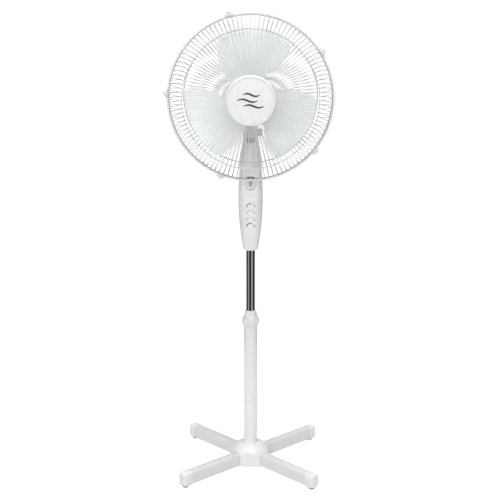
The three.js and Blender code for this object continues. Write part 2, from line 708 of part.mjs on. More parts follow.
BUTTON_HEIGHTS.forEach((z, i) => {
  const front = columnFront(z) - PANEL_PROUD - BUTTON_PROUD;
  const options = {
    depth: BUTTON_REAR_Y - front - 1.2,
    bevelThickness: 1.2,
    bevelSize: 1.2,
    bevelOffset: -1.2,
    bevelSegments: 1,
    curveSegments: 4,
  };
  const cap = new THREE.ExtrudeGeometry(buttonShape(0, 0), options).rotateX(Math.PI / 2);
  const trimmed = cut(cap.translate(0, BUTTON_REAR_Y, 0), box(-20, 20, BUTTON_REAR_Y - 1.2, 20, -20, 20));
  piece(group(fan, 0, 0, z), `speed_button_${i + 1}`, trimmed, WHITE);
});

// The timer's knob: a skirt, a cap with a finger bar across it, and a shaft into the timer.
function timerKnob() {
  const under = columnFront(DIAL_Z - TIMER_KNOB_RADIUS) - PANEL_PROUD - RUNNING;
  const top = under - TIMER_KNOB_HEIGHT;
  const body = turned("y", [
    [0, timerFront + 10],
    [TIMER_SHAFT_RADIUS, timerFront + 10],
    [TIMER_SHAFT_RADIUS, under],
    [TIMER_KNOB_RADIUS, under],
    [TIMER_KNOB_RADIUS - 0.8, under - 4],
    [TIMER_KNOB_RADIUS - 3, under - 5],
    [0, under - 5],
  ], MEDIUM);
  const bar = new THREE.Shape();
  bar.absarc(0, 5, 5.5, 0, Math.PI);
  bar.lineTo(-2, -10);
  bar.lineTo(2, -10);
  bar.closePath();
  return join(body, slabAlongY(bar, top, under - 4));
}
piece(group(fan, 0, 0, DIAL_Z), "timer_knob", timerKnob(), WHITE);

// ---------------------------------------------------------------- yoke and tilting neck

const TILT_Z = COLUMN_TOP + TILT_RISE;
const NECK_CUP_BOTTOM = TILT_Z + EAR_RADIUS + NECK_CUP_CLEARANCE;
const NECK_CUP_TOP = NECK_CUP_BOTTOM + NECK_CUP_HEIGHT;
const LINK_BOTTOM = NECK_CUP_TOP + LINK_OVER_NECK;
const LINK_TOP = LINK_BOTTOM + LINK_THICKNESS;
const CRANK_BOTTOM = LINK_TOP + LINK_CLEARANCE;
const CRANK_TOP = CRANK_BOTTOM + CRANK_THICKNESS;
const HEAD_Z = CRANK_TOP + CRANK_CLEARANCE + MOTOR_COVER_RADIUS; // the fan's axis

// The ears that hold the neck stand on a block that closes the column's top.
function tiltYoke() {
  const rings = [columnSection(columnLine.getPoint(1), COLUMN_TOP + GAP, 0)];
  for (const [x, y, rise] of YOKE_STATIONS) rings.push(columnSection({ x, y }, COLUMN_TOP + rise, 0));
  const bosses = rod("x", EAR_BOSS_RADIUS, -EAR_OUTER, EAR_OUTER).translate(0, 0, TILT_Z);
  const boltWay = rod("x", TILT_BOLT_RADIUS + GAP, -WIDE, WIDE, SMALL).translate(0, 0, TILT_Z);
  const cradle = rod("x", BARREL_RADIUS + 1, -EAR_INNER, EAR_INNER).translate(0, 0, TILT_Z);
  const between = box(-EAR_INNER, EAR_INNER, -WIDE, WIDE, COLUMN_TOP + YOKE_FLOOR, 2 * TILT_Z);
  const slots = [];
  for (let i = 0; i < YOKE_SLOT_COUNT; i++) {
    const x = (i - (YOKE_SLOT_COUNT - 1) / 2) * YOKE_SLOT_PITCH;
    const half = YOKE_SLOT_WIDTH / 2;
    slots.push(box(
      x - half, x + half, -WIDE, YOKE_SLOT_BACK_Y, COLUMN_TOP + YOKE_SLOT_BOTTOM, COLUMN_TOP + YOKE_SLOT_TOP));
  }
  return cut(join(loft(rings), bosses), cradle, between, boltWay, ...slots);
}
piece(column, "tilt_yoke", tiltYoke(), SATIN_WHITE);

function tiltNeck() {
  const half = EAR_INNER - GAP;
  const barrel = rod("x", BARREL_RADIUS, -half, half).translate(0, 0, TILT_Z);
  const stem = box(-half, half, -9, 9, TILT_Z, NECK_CUP_BOTTOM + 1);
  const cup = rod("z", NECK_CUP_RADIUS, NECK_CUP_BOTTOM, NECK_CUP_TOP);
  const armShape = new THREE.Shape();
  armShape.absarc(LINK_PIN_REACH, 0, 6, -Math.PI / 2, Math.PI / 2);
  armShape.lineTo(0, 9);
  armShape.lineTo(0, -9);
  armShape.closePath();
  const arm = slab(armShape, NECK_CUP_TOP - LINK_ARM_THICKNESS, NECK_CUP_TOP, 6);
  const pin = rod("z", LINK_PIN_RADIUS, NECK_CUP_TOP - 1, LINK_TOP + 1.5, SMALL);
  const boltWay = rod("x", TILT_BOLT_RADIUS + RUNNING, -WIDE, WIDE, SMALL).translate(0, 0, TILT_Z);
  const pinWay = rod("z", SWIVEL_PIN_RADIUS + RUNNING, NECK_CUP_TOP - SWIVEL_PIN_DEPTH - 1, NECK_CUP_TOP + 1);
  return cut(join(barrel, stem, cup, arm, pin.translate(LINK_PIN_REACH, 0, 0)), boltWay, pinWay);
}
piece(group(fan), "tilt_neck", tiltNeck(), SATIN_WHITE);

// The clamping bolt and its knob are one moulding: they turn together.
function tiltKnob() {
  const under = EAR_OUTER + RUNNING;
  const knob = turned("x", [
    [0, -EAR_OUTER - 4],
    [TILT_BOLT_RADIUS, -EAR_OUTER - 4],
    [TILT_BOLT_RADIUS, under],
    [TILT_KNOB_RADIUS - 3, under],
    [TILT_KNOB_RADIUS - 2, under + TILT_KNOB_LENGTH - 1],
    [TILT_KNOB_RADIUS - 3, under + TILT_KNOB_LENGTH],
    [0, under + TILT_KNOB_LENGTH],
  ], SMALL);
  const lobes = [0, 60, 120].map((angle) => {
    const reach = TILT_KNOB_RADIUS;
    return box(under + 2, under + TILT_KNOB_LENGTH - 1, -2, 2, -reach, reach).rotateX(radians(angle));
  });
  return join(knob, ...lobes);
}
piece(group(fan, 0, 0, TILT_Z), "tilt_knob", tiltKnob(), WHITE);

// ---------------------------------------------------------------- motor and gearbox

const head = group(fan, 0, 0, HEAD_Z); // everything round the fan's axis is made round Y

const MOTOR_FRONT_Y = RIM_Y + REAR_DEPTH + WIRE_THICKNESS / 2 + GAP;
const BELL_REAR_Y = MOTOR_FRONT_Y + BELL_DEPTH;
const GEARBOX_FRONT_Y = MOTOR_FRONT_Y + MOTOR_LENGTH;
const GEARBOX_REAR_Y = GEARBOX_FRONT_Y + GEARBOX_LENGTH;
const SWING_KNOB_Y = GEARBOX_FRONT_Y + SWING_KNOB_SETBACK;
const CRANK_Y = GEARBOX_FRONT_Y + CRANK_SETBACK;
const HUB_FRONT_Y = RIM_Y - HUB_LEAD;
const SHAFT_FRONT_Y = HUB_FRONT_Y - SHAFT_PAST_HUB;
const SHAFT_REAR_Y = GEARBOX_FRONT_Y + SHAFT_IN_GEARBOX;
const GEARBOX_BOTTOM = HEAD_Z - GEARBOX_DROP;
const BEARING_BORE = SHAFT_RADIUS + RUNNING;

// The cast front of the motor: a cup with a threaded boss in front and the swing post underneath.
function frontBell() {
  const cup = turned("y", [
    [BEARING_RADIUS + GAP, MOTOR_FRONT_Y - BOSS_LENGTH],
    [BOSS_RADIUS, MOTOR_FRONT_Y - BOSS_LENGTH],
    [BOSS_RADIUS, MOTOR_FRONT_Y],
    [MOTOR_RADIUS - 4, MOTOR_FRONT_Y],
    [MOTOR_RADIUS, MOTOR_FRONT_Y + 4],
    [MOTOR_RADIUS, BELL_REAR_Y],
    [MOTOR_RADIUS - BELL_WALL, BELL_REAR_Y],
    [MOTOR_RADIUS - BELL_WALL, MOTOR_FRONT_Y + BELL_WALL],
    [BEARING_RADIUS + GAP, MOTOR_FRONT_Y + BELL_WALL],
  ]);
  const postTop = -MOTOR_RADIUS + 2;
  const post = rod("z", SWIVEL_POST_RADIUS, NECK_CUP_TOP + GAP - HEAD_Z, postTop);
  const pin = rod("z", SWIVEL_PIN_RADIUS, NECK_CUP_TOP - SWIVEL_PIN_DEPTH - HEAD_Z, postTop);
  return join(cup, post, pin);
}
piece(head, "motor_front_bell", frontBell(), STEEL);

const STATOR_FRONT_Y = BELL_REAR_Y - 14;
const STATOR_REAR_Y = STATOR_FRONT_Y + STATOR_LENGTH;
const stator = pipe("y", MOTOR_RADIUS - BELL_WALL - GAP, STATOR_BORE, STATOR_FRONT_Y, STATOR_REAR_Y);
piece(head, "stator_core", stator, STEEL);
const frontWinding = STATOR_FRONT_Y - GAP - WINDING_LENGTH;
const rearWinding = STATOR_REAR_Y + GAP;
[["front_winding", frontWinding], ["rear_winding", rearWinding]].forEach(([name, y]) => {
  const coil = pipe("y", WINDING_RADIUS, STATOR_BORE + 1, y, y + WINDING_LENGTH, MEDIUM);
  piece(head, name, coil, COPPER);
});

const rearBell = turned("y", [
  [BEARING_RADIUS + GAP, GEARBOX_FRONT_Y - BELL_WALL],
  [MOTOR_RADIUS - 4, GEARBOX_FRONT_Y - BELL_WALL],
  [MOTOR_RADIUS - 4, STATOR_REAR_Y + 2],
  [MOTOR_RADIUS, STATOR_REAR_Y + 2],
  [MOTOR_RADIUS, BELL_REAR_Y + GAP],
  [MOTOR_RADIUS - BELL_WALL, BELL_REAR_Y + GAP],
  [MOTOR_RADIUS - BELL_WALL, STATOR_REAR_Y + GAP],
  [MOTOR_RADIUS - 4 - BELL_WALL, STATOR_REAR_Y + GAP],
  [MOTOR_RADIUS - 4 - BELL_WALL, GEARBOX_FRONT_Y - 2 * BELL_WALL],
  [BEARING_RADIUS + GAP, GEARBOX_FRONT_Y - 2 * BELL_WALL],
]);
piece(head, "motor_rear_bell", rearBell, STEEL);

const frontBearingY = MOTOR_FRONT_Y - BOSS_LENGTH + 2;
const rearBearingY = GEARBOX_FRONT_Y - BEARING_LENGTH - 1;
[["front_bearing", frontBearingY], ["rear_bearing", rearBearingY]].forEach(([name, y]) => {
  piece(head, name, pipe("y", BEARING_RADIUS, BEARING_BORE, y, y + BEARING_LENGTH, SMALL), STEEL);
});

const gearboxBody = box(
  -GEARBOX_HALF_WIDTH, GEARBOX_HALF_WIDTH, GEARBOX_FRONT_Y, GEARBOX_REAR_Y, -GEARBOX_DROP, GEARBOX_RISE);
const gearShaftWay = rod("y", SHAFT_RADIUS + 2, GEARBOX_FRONT_Y - 1, SHAFT_REAR_Y + 1, SMALL);
const knobWay = rod("z", SWING_STEM_RADIUS + RUNNING, 16, WIDE, SMALL).translate(0, SWING_KNOB_Y, 0);
const crankWay = rod("z", CRANK_SPINDLE_RADIUS + RUNNING, -WIDE, -16, SMALL).translate(0, CRANK_Y, 0);
piece(head, "gearbox", cut(gearboxBody, gearShaftWay, knobWay, crankWay), GREY);

// The rear cover's outline as [radius, y]: nearly straight sides and a full round back.
function motorCoverProfile(inset) {
  const start = GEARBOX_REAR_Y + MOTOR_COVER_ROOM - MOTOR_COVER_ROUND;
  const front = MOTOR_FRONT_Y + MOTOR_COVER_SETBACK - (inset ? 1 : 0);
  const profile = [[0, front], [MOTOR_COVER_RADIUS - inset, front]];
  const steps = 5;
  for (let i = 0; i <= steps; i++) {
    const angle = ((Math.PI / 2) * i) / steps;
    const radius = (MOTOR_COVER_RADIUS - 3) * Math.cos(angle) ** 0.7 - inset;
    profile.push([Math.max(radius, 0), start + MOTOR_COVER_ROUND * Math.sin(angle) - inset]);
  }
  return profile;
}

function motorCover() {
  const outer = turned("y", motorCoverProfile(0));
  const inner = turned("y", motorCoverProfile(MOTOR_COVER_WALL));
  const vents = [];
  for (let i = 0; i < VENT_COUNT; i++) {
    const x = (i - (VENT_COUNT - 1) / 2) * VENT_PITCH;
    const reach = Math.sqrt(34 ** 2 - x ** 2);
    vents.push(box(x - VENT_WIDTH / 2, x + VENT_WIDTH / 2, GEARBOX_REAR_Y, WIDE, -reach, reach));
  }
  const openings = [
    rod("z", SWIVEL_POST_RADIUS + 2, -WIDE, 0),
    rod("z", CRANK_SPINDLE_RADIUS + 2, -WIDE, 0, SMALL).translate(0, CRANK_Y, 0),
    rod("z", SWING_STEM_RADIUS + RUNNING, 0, WIDE, SMALL).translate(0, SWING_KNOB_Y, 0),
  ];
  return cut(outer, inner, ...vents, ...openings);
}
piece(head, "motor_cover", motorCover(), SATIN_WHITE);

const knobFoot = GEARBOX_RISE - 6;
const knobUnder = MOTOR_COVER_RADIUS + SWING_KNOB_LIFT;
const swingKnob = turned("z", [
  [0, knobFoot],
  [SWING_STEM_RADIUS, knobFoot],
  [SWING_STEM_RADIUS, knobUnder],
  [SWING_KNOB_RADIUS - 2, knobUnder],
  [SWING_KNOB_RADIUS - 1, knobUnder + SWING_KNOB_HEIGHT - 4],
  [SWING_KNOB_RADIUS, knobUnder + SWING_KNOB_HEIGHT - 2.5],
  [SWING_KNOB_RADIUS - 2, knobUnder + SWING_KNOB_HEIGHT],
  [0, knobUnder + SWING_KNOB_HEIGHT],
], SMALL);
piece(group(head, 0, SWING_KNOB_Y, 0), "swing_knob", swingKnob, WHITE);

const crank = join(
  rod("z", CRANK_RADIUS, CRANK_BOTTOM, CRANK_TOP),
  rod("z", CRANK_SPINDLE_RADIUS, CRANK_TOP - 1, GEARBOX_BOTTOM + 14, SMALL),
  rod("z", CRANK_PIN_RADIUS, LINK_BOTTOM - 1, CRANK_TOP - 1, SMALL).translate(CRANK_THROW, 0, 0),
);
piece(group(fan, 0, CRANK_Y, 0), "swing_crank", crank, STEEL);

// The link runs from the crank's pin to the neck's pin, with an oversize eye round the neck's pin.
function swingLink() {
  const reach = new THREE.Vector2(LINK_PIN_REACH + LINK_EYE_OFFSET - CRANK_THROW, -CRANK_Y);
  const length = reach.length();
  const bar = box(0, length, -LINK_WIDTH / 2, LINK_WIDTH / 2, LINK_BOTTOM, LINK_TOP);
  const eye = rod("z", LINK_EYE_RADIUS, LINK_BOTTOM, LINK_TOP).translate(length, 0, 0);
  const pivot = rod("z", LINK_PIVOT_RADIUS, LINK_BOTTOM, LINK_TOP, SMALL);
  const eyeWay = rod("z", LINK_EYE_BORE, LINK_BOTTOM - 1, LINK_TOP + 1).translate(length, 0, 0);
  const pivotWay = rod("z", CRANK_PIN_RADIUS + RUNNING, LINK_BOTTOM - 1, LINK_TOP + 1, SMALL);
  return cut(join(bar, eye, pivot), eyeWay, pivotWay).rotateZ(reach.angle());
}
piece(group(fan, CRANK_THROW, CRANK_Y, 0), "swing_link", swingLink(), STEEL);

// ---------------------------------------------------------------- guards

const guards = group(head, 0, RIM_Y, 0); // the rim's plane is y = 0 here

// A guard as one welded lattice: straight wires across flat rings.
// Stations run outwards as [radius, y, whether a ring starts here and ends at the next station].
function lattice(stations) {
  const positions = [];
  const index = [];
  const stride = stations.length * 4;
  const vertex = (k, i, side, face) => (k % WIRE_COUNT) * stride + i * 4 + side * 2 + face;
  for (let k = 0; k < WIRE_COUNT; k++) {
    const angle = (2 * Math.PI * k) / WIRE_COUNT;
    for (const [radius, y] of stations)
      for (const side of [-1, 1])
        for (const face of [-1, 1]) {
          const across = (side * WIRE_WIDTH) / 2;
          const x = radius * Math.cos(angle) - across * Math.sin(angle);
          const z = radius * Math.sin(angle) + across * Math.cos(angle);
          positions.push(x, y + (face * WIRE_THICKNESS) / 2, z);
        }
  }
  const quad = (a, b, c, d) => index.push(a, b, c, a, c, d);
  for (let k = 0; k < WIRE_COUNT; k++)
    for (let i = 0; i + 1 < stations.length; i++) {
      const j = i + 1;
      const at = (station, side, face) => vertex(k, station, side, face);
      const next = (station, face) => vertex(k + 1, station, 0, face);
      quad(at(i, 0, 0), at(j, 0, 0), at(j, 1, 0), at(i, 1, 0));
      quad(at(i, 0, 1), at(i, 1, 1), at(j, 1, 1), at(j, 0, 1));
      if (stations[i][2]) {
        quad(at(i, 1, 0), at(j, 1, 0), next(j, 0), next(i, 0));
        quad(at(i, 1, 1), next(i, 1), next(j, 1), at(j, 1, 1));
        quad(at(i, 1, 0), next(i, 0), next(i, 1), at(i, 1, 1));
        quad(at(j, 1, 0), at(j, 1, 1), next(j, 1), next(j, 0));
        if (i === 0) quad(at(i, 0, 0), at(i, 1, 0), at(i, 1, 1), at(i, 0, 1));
        if (j === stations.length - 1) quad(at(j, 0, 0), at(j, 0, 1), at(j, 1, 1), at(j, 1, 0));
      } else {
        quad(at(i, 0, 0), at(i, 0, 1), at(j, 0, 1), at(j, 0, 0));
        quad(at(i, 1, 0), at(j, 1, 0), at(j, 1, 1), at(i, 1, 1));
      }
    }
  const geometry = new THREE.BufferGeometry();
  geometry.setAttribute("position", new THREE.Float32BufferAttribute(positions, 3));
  return geometry.setIndex(index);
}

// Both guards have the same stations, at their own depths behind or before the rim.
function guardStations(plateInner, plateOuter, depths, rimY) {
  const [plate, brace, bend] = depths;
  const braceInner = RIM_RADIUS - BRACE_INSET - BRACE_WIRE / 2;
  return [
    [plateInner, plate, true],
    [plateOuter, plate, false],
    [braceInner, brace, true],
    [braceInner + BRACE_WIRE, brace * 0.97, false],
    [RIM_RADIUS - BEND_INSET, bend, false],
    [RIM_RADIUS - RIM_WIRE, rimY, true],
    [RIM_RADIUS, rimY, false],
  ];
}

const rimMiddle = RIM_THICKNESS / 2;
const REAR_PLATE_INNER = BOSS_RADIUS + REAR_PLATE_PLAY;
const rearDepths = [REAR_DEPTH, REAR_BRACE_DEPTH, REAR_BEND_DEPTH];
const frontDepths = [-FRONT_DEPTH, -FRONT_BRACE_DEPTH, -FRONT_BEND_DEPTH];
const rearStations = guardStations(REAR_PLATE_INNER, REAR_PLATE_OUTER, rearDepths, rimMiddle);
const frontStations = guardStations(FRONT_PLATE_INNER, FRONT_PLATE_OUTER, frontDepths, -rimMiddle);
piece(guards, "rear_guard", lattice(rearStations), PAINT);
piece(guards, "front_guard", lattice(frontStations), PAINT);

// The ring nut that clamps the rear guard's plate against the motor.
const plateFront = REAR_DEPTH - WIRE_THICKNESS / 2 - GAP;
const guardNut = turned("y", [
  [BOSS_RADIUS + GAP, plateFront - GUARD_NUT_DEPTH],
  [BOSS_RADIUS + GUARD_NUT_WALL, plateFront - GUARD_NUT_DEPTH],
  [BOSS_RADIUS + 2 * GUARD_NUT_WALL, plateFront - 2],
  [BOSS_RADIUS + 2 * GUARD_NUT_WALL, plateFront],
  [BOSS_RADIUS + GAP, plateFront],
]);
const nutLobes = [0, 90].map((angle) => {
  const reach = BOSS_RADIUS + 2 * GUARD_NUT_WALL + 3;
  return box(-reach, reach, plateFront - GUARD_NUT_DEPTH, plateFront, -5, 5).rotateY(radians(angle));
});
const nutBore = rod("y", BOSS_RADIUS + GAP, plateFront - 20, plateFront + 20, FINE);
piece(guards, "guard_nut", cut(join(guardNut, ...nutLobes), nutBore), WHITE);

const badgeBack = -FRONT_DEPTH - WIRE_THICKNESS / 2 - GAP;
const badge = turned("y", [
  [0, badgeBack],
  [BADGE_RADIUS - 1, badgeBack],
  [BADGE_RADIUS, badgeBack - 1.5],
  [BADGE_RADIUS, badgeBack - BADGE_HEIGHT + BADGE_BEVEL],
  [BADGE_RADIUS - BADGE_BEVEL, badgeBack - BADGE_HEIGHT],
  [BADGE_RADIUS - BADGE_BEVEL - 1.2, badgeBack - BADGE_HEIGHT + 1],
  [0, badgeBack - BADGE_HEIGHT],
], 40);
piece(guards, "front_badge", badge, WHITE);

// A hinged clip over both rims: a spine outside them and a hook in front.
function guardClip() {
  const half = CLIP_LENGTH / 2;
  const inner = RIM_RADIUS + GAP;
  const outer = inner + CLIP_WALL;
  const hookY = -RIM_THICKNESS - GAP;
  const outline = new THREE.Shape();
  outline.moveTo(inner, CLIP_BACK_Y);
  outline.lineTo(inner, hookY);
  outline.lineTo(RIM_RADIUS - CLIP_HOOK_REACH, hookY);
  outline.lineTo(RIM_RADIUS - CLIP_HOOK_REACH, hookY - CLIP_HOOK_THICKNESS);
  outline.lineTo(outer + 2, hookY - CLIP_HOOK_THICKNESS);
  outline.lineTo(outer + 5, hookY - CLIP_HOOK_THICKNESS - 2);
  outline.lineTo(outer, hookY + 2);
  outline.lineTo(outer, CLIP_BACK_Y);
  outline.closePath();
  return slab(outline, -half, half);
}
for (let i = 0; i < CLIP_COUNT; i++) {
  const place = group(guards);
  place.rotation.y = -radians(CLIP_FIRST_ANGLE + (360 * i) / CLIP_COUNT);
  piece(place, `guard_clip_${i + 1}`, guardClip(), WHITE);
}

// ---------------------------------------------------------------- shaft, rotor and blades

piece(head, "motor_shaft", rod("y", SHAFT_RADIUS, SHAFT_FRONT_Y, SHAFT_REAR_Y, SMALL), STEEL);
const rotor = pipe("y", STATOR_BORE - AIR_GAP, SHAFT_RADIUS + GAP, STATOR_FRONT_Y, STATOR_REAR_Y, MEDIUM);
piece(head, "rotor", rotor, STEEL);

const BLADE_TIP_RADIUS = RIM_RADIUS - BLADE_CLEARANCE;
const BLADE_ROOT_RADIUS = HUB_RADIUS - 2; // sunk in the hub's wall
const BLADE_SPAN = BLADE_TIP_RADIUS - BLADE_ROOT_RADIUS;
const bladeEdges = new THREE.CatmullRomCurve3(
  BLADE_OUTLINE.map(([share, lead, trail]) => new THREE.Vector3(share * BLADE_SPAN, lead, trail)),
  false, "centripetal");

// One blade as a loft from the hub out: each ring goes along the back of the blade and returns along the front.
function blade(centreAngle) {
  const stations = 7;
  const steps = 4;
  const rings = bladeEdges.getPoints(stations).map(({ x: reach, y: lead, z: trail }) => {
    const radius = BLADE_ROOT_RADIUS + reach;
    const rise = BLADE_ROOT_RISE + (BLADE_TIP_RISE - BLADE_ROOT_RISE) * (reach / BLADE_SPAN);
    const row = (offset) => Array.from({ length: steps + 1 }, (_, i) => {
      const t = i / steps;
      const angle = radians(centreAngle + lead + (trail - lead) * t);
      const arc = BLADE_CAMBER * (4 * t * (1 - t) - 0.5);
      const y = RIM_Y - BLADE_LEAD + rise * (0.5 - t) + arc + offset;
      return new THREE.Vector3(radius * Math.cos(angle), y, radius * Math.sin(angle));
    });
    return [...row(BLADE_THICKNESS / 2), ...row(-BLADE_THICKNESS / 2).reverse()];
  });
  return loft(rings);
}

function fanBlade() {
  const rear = HUB_FRONT_Y + HUB_DEPTH;
  const hub = turned("y", [
    [BEARING_BORE, HUB_FRONT_Y],
    [HUB_RADIUS - 4, HUB_FRONT_Y],
    [HUB_RADIUS, HUB_FRONT_Y + 4],
    [HUB_RADIUS, rear],
    [HUB_RADIUS - HUB_WALL, rear],
    [HUB_RADIUS - HUB_WALL, HUB_FRONT_Y + HUB_WALL],
    [HUB_BOSS_RADIUS, HUB_FRONT_Y + HUB_WALL],
    [HUB_BOSS_RADIUS, rear - 4],
    [BEARING_BORE, rear - 4],
  ]);
  const blades = [];
  for (let i = 0; i < BLADE_COUNT; i++)
    blades.push(blade(BLADE_FIRST_ANGLE + (360 * i) / BLADE_COUNT));
  const inside = rod("y", HUB_RADIUS - HUB_WALL, HUB_FRONT_Y + HUB_WALL, rear + 20, FINE);
  const bossKept = cut(inside, rod("y", HUB_BOSS_RADIUS, HUB_FRONT_Y, rear - 4, FINE));
  return join(hub, ...blades.map((made) => cut(made, bossKept)));
}
piece(head, "fan_blade", fanBlade(), BLADE_BLUE);

const spinnerBack = HUB_FRONT_Y - GAP;
const spinner = cut(
  turned("y", [
    [0, spinnerBack],
    [SPINNER_RADIUS, spinnerBack],
    [SPINNER_RADIUS, spinnerBack - SPINNER_LENGTH + 6],
    [SPINNER_RADIUS - 5, spinnerBack - SPINNER_LENGTH],
    [0, spinnerBack - SPINNER_LENGTH],
  ], SMALL),
  rod("y", BEARING_BORE, SHAFT_FRONT_Y - GAP, 0, SMALL),
);
piece(head, "spinner_nut", spinner, WHITE);

export default fan;
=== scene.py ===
"""The looks of the pedestal fan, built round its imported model. Sizes are in millimetres."""

import json
import math

import bmesh
import bpy
import numpy as np
from mathutils import Matrix, Vector


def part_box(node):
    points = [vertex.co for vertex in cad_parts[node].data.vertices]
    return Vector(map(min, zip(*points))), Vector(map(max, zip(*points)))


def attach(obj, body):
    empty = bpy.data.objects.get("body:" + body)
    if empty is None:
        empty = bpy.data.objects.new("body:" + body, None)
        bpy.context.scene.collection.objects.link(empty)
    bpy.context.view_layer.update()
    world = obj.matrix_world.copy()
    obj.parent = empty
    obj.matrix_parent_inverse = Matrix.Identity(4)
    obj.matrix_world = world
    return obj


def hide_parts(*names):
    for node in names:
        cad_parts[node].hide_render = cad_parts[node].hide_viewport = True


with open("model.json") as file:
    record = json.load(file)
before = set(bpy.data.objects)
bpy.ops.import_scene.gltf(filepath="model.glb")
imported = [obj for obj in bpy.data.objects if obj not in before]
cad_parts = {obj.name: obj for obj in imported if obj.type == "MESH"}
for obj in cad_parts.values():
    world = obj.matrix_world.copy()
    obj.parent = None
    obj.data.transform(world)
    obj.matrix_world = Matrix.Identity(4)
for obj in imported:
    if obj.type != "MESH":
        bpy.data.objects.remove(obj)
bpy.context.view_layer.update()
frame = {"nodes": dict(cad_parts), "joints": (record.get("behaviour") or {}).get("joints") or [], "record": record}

MM = 0.001
WELD_M = 1e-7
SCENE = bpy.context.scene
AXIS = (0, 0, 0)

NODE_BODY = {n: b for b, nodes in frame["record"]["behaviour"]["bodies"].items() for n in nodes}
NODE_SLOT = {s["node"]: s["material_slot"] for s in frame["record"]["subparts"]}
JOINTS = {joint["name"]: joint for joint in frame["joints"]}


def box_mm(node):
    low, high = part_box(node)
    return np.array(low) / MM, np.array(high) / MM


def joint_mm(name):
    return np.array(JOINTS[name]["pos_m"]) / MM


# ---------------------------------------------------------------- materials


class Nodes:
    """A material's node tree, with short ways to add to it."""

    def __init__(self, name):
        self.material = bpy.data.materials.new(name)
        self.material.use_nodes = True
        self.tree = self.material.node_tree
        self.shader = self.tree.nodes["Principled BSDF"]

    def add(self, kind, **values):
        node = self.tree.nodes.new(kind)
        for name, value in values.items():
            setattr(node, name, value)
        return node

    def link(self, source, target):
        self.tree.links.new(source, target)

    def set(self, **values):
        for name, value in values.items():
            self.shader.inputs[name.replace("_", " ")].default_value = value

    def noise(self, scale, detail=3.0, stretch=(1, 1, 1)):
        """A noise in the object's own metres, stretched along its axes."""
        place = self.add("ShaderNodeTexCoord")
        mapping = self.add("ShaderNodeMapping")
        mapping.inputs["Scale"].default_value = stretch
        noise = self.add("ShaderNodeTexNoise")
        noise.inputs["Scale"].default_value = scale
        noise.inputs["Detail"].default_value = detail
        self.link(place.outputs["Object"], mapping.inputs["Vector"])
        self.link(mapping.outputs["Vector"], noise.inputs["Vector"])
        return noise.outputs["Fac"]

    def vary_colour(self, factor, low, high):
        ramp = self.add("ShaderNodeValToRGB")
        ramp.color_ramp.elements[0].position = 0.3
        ramp.color_ramp.elements[1].position = 0.7
        ramp.color_ramp.elements[0].color = (*low, 1)
        ramp.color_ramp.elements[1].color = (*high, 1)
        self.link(factor, ramp.inputs["Fac"])
        self.link(ramp.outputs["Color"], self.shader.inputs["Base Color"])

    def vary_roughness(self, factor, low, high):
        spread = self.add("ShaderNodeMapRange")
        spread.inputs["From Min"].default_value = 0.3
        spread.inputs["From Max"].default_value = 0.7
        spread.inputs["To Min"].default_value = low
        spread.inputs["To Max"].default_value = high
        self.link(factor, spread.inputs["Value"])
        self.link(spread.outputs["Result"], self.shader.inputs["Roughness"])

    def bump(self, height, depth_mm):
        bump = self.add("ShaderNodeBump")
        bump.inputs["Strength"].default_value = 1.0
        bump.inputs["Distance"].default_value = depth_mm * MM
        self.link(height, bump.inputs["Height"])
        self.link(bump.outputs["Normal"], self.shader.inputs["Normal"])


def shade(colour, factor):
    return tuple(min(1.0, c * factor) for c in colour)


def moulded(name, colour, roughness, grain_mm=0.004, coat=0.0):
    """Moulded plastic: a fine mould texture, slow flow marks in its colour, and a soft gloss."""
    nodes = Nodes(name)
    flow = nodes.noise(9.0, 2.0)
    nodes.vary_colour(flow, shade(colour, 0.975), shade(colour, 1.01))
    nodes.vary_roughness(nodes.noise(60.0), roughness - 0.05, roughness + 0.07)
    nodes.bump(nodes.noise(1400.0, 2.0), grain_mm)
    nodes.set(Coat_Weight=coat, Coat_Roughness=0.12)
    return nodes.material


def painted(name, colour, roughness):
    """Powder coat on steel: a fine orange peel and a thin clear gloss."""
    nodes = Nodes(name)
    nodes.vary_colour(nodes.noise(14.0, 2.0), shade(colour, 0.98), shade(colour, 1.01))
    nodes.vary_roughness(nodes.noise(90.0), roughness - 0.04, roughness + 0.06)
    nodes.bump(nodes.noise(520.0, 2.0), 0.012)
    nodes.set(Coat_Weight=0.25, Coat_Roughness=0.1)
    return nodes.material


def plated(name, colour, roughness, brushed=0.0, stretch=(1, 1, 1)):
    """Bare or plated metal. Brushing is a bump stretched along the marks."""
    nodes = Nodes(name)
    nodes.vary_colour(nodes.noise(20.0, 2.0), shade(colour, 0.97), colour)
    nodes.vary_roughness(nodes.noise(120.0, 2.0, stretch), roughness * 0.8, roughness * 1.25)
    if brushed:
        nodes.bump(nodes.noise(260.0, 2.0, stretch), brushed)
    nodes.set(Metallic=1.0)
    return nodes.material


def clear_blue(name):
    """Clear, faintly blue moulded plastic: most light goes through, some is scattered inside."""
    nodes = Nodes(name)
    nodes.vary_colour(nodes.noise(11.0, 2.0), (0.955, 0.985, 1.0), (0.975, 0.995, 1.0))
    nodes.vary_roughness(nodes.noise(45.0), 0.16, 0.24)
    nodes.bump(nodes.noise(240.0, 2.0), 0.004)
    nodes.set(Transmission_Weight=0.46, IOR=1.2, Coat_Weight=0.3, Coat_Roughness=0.08)
    return nodes.material


def soft_rubber(name):
    nodes = Nodes(name)
    nodes.vary_colour(nodes.noise(40.0, 2.0), (0.006, 0.006, 0.006), (0.014, 0.014, 0.014))
    nodes.vary_roughness(nodes.noise(200.0), 0.62, 0.8)
    nodes.bump(nodes.noise(900.0), 0.02)
    nodes.set(Specular_IOR_Level=0.1)
    return nodes.material


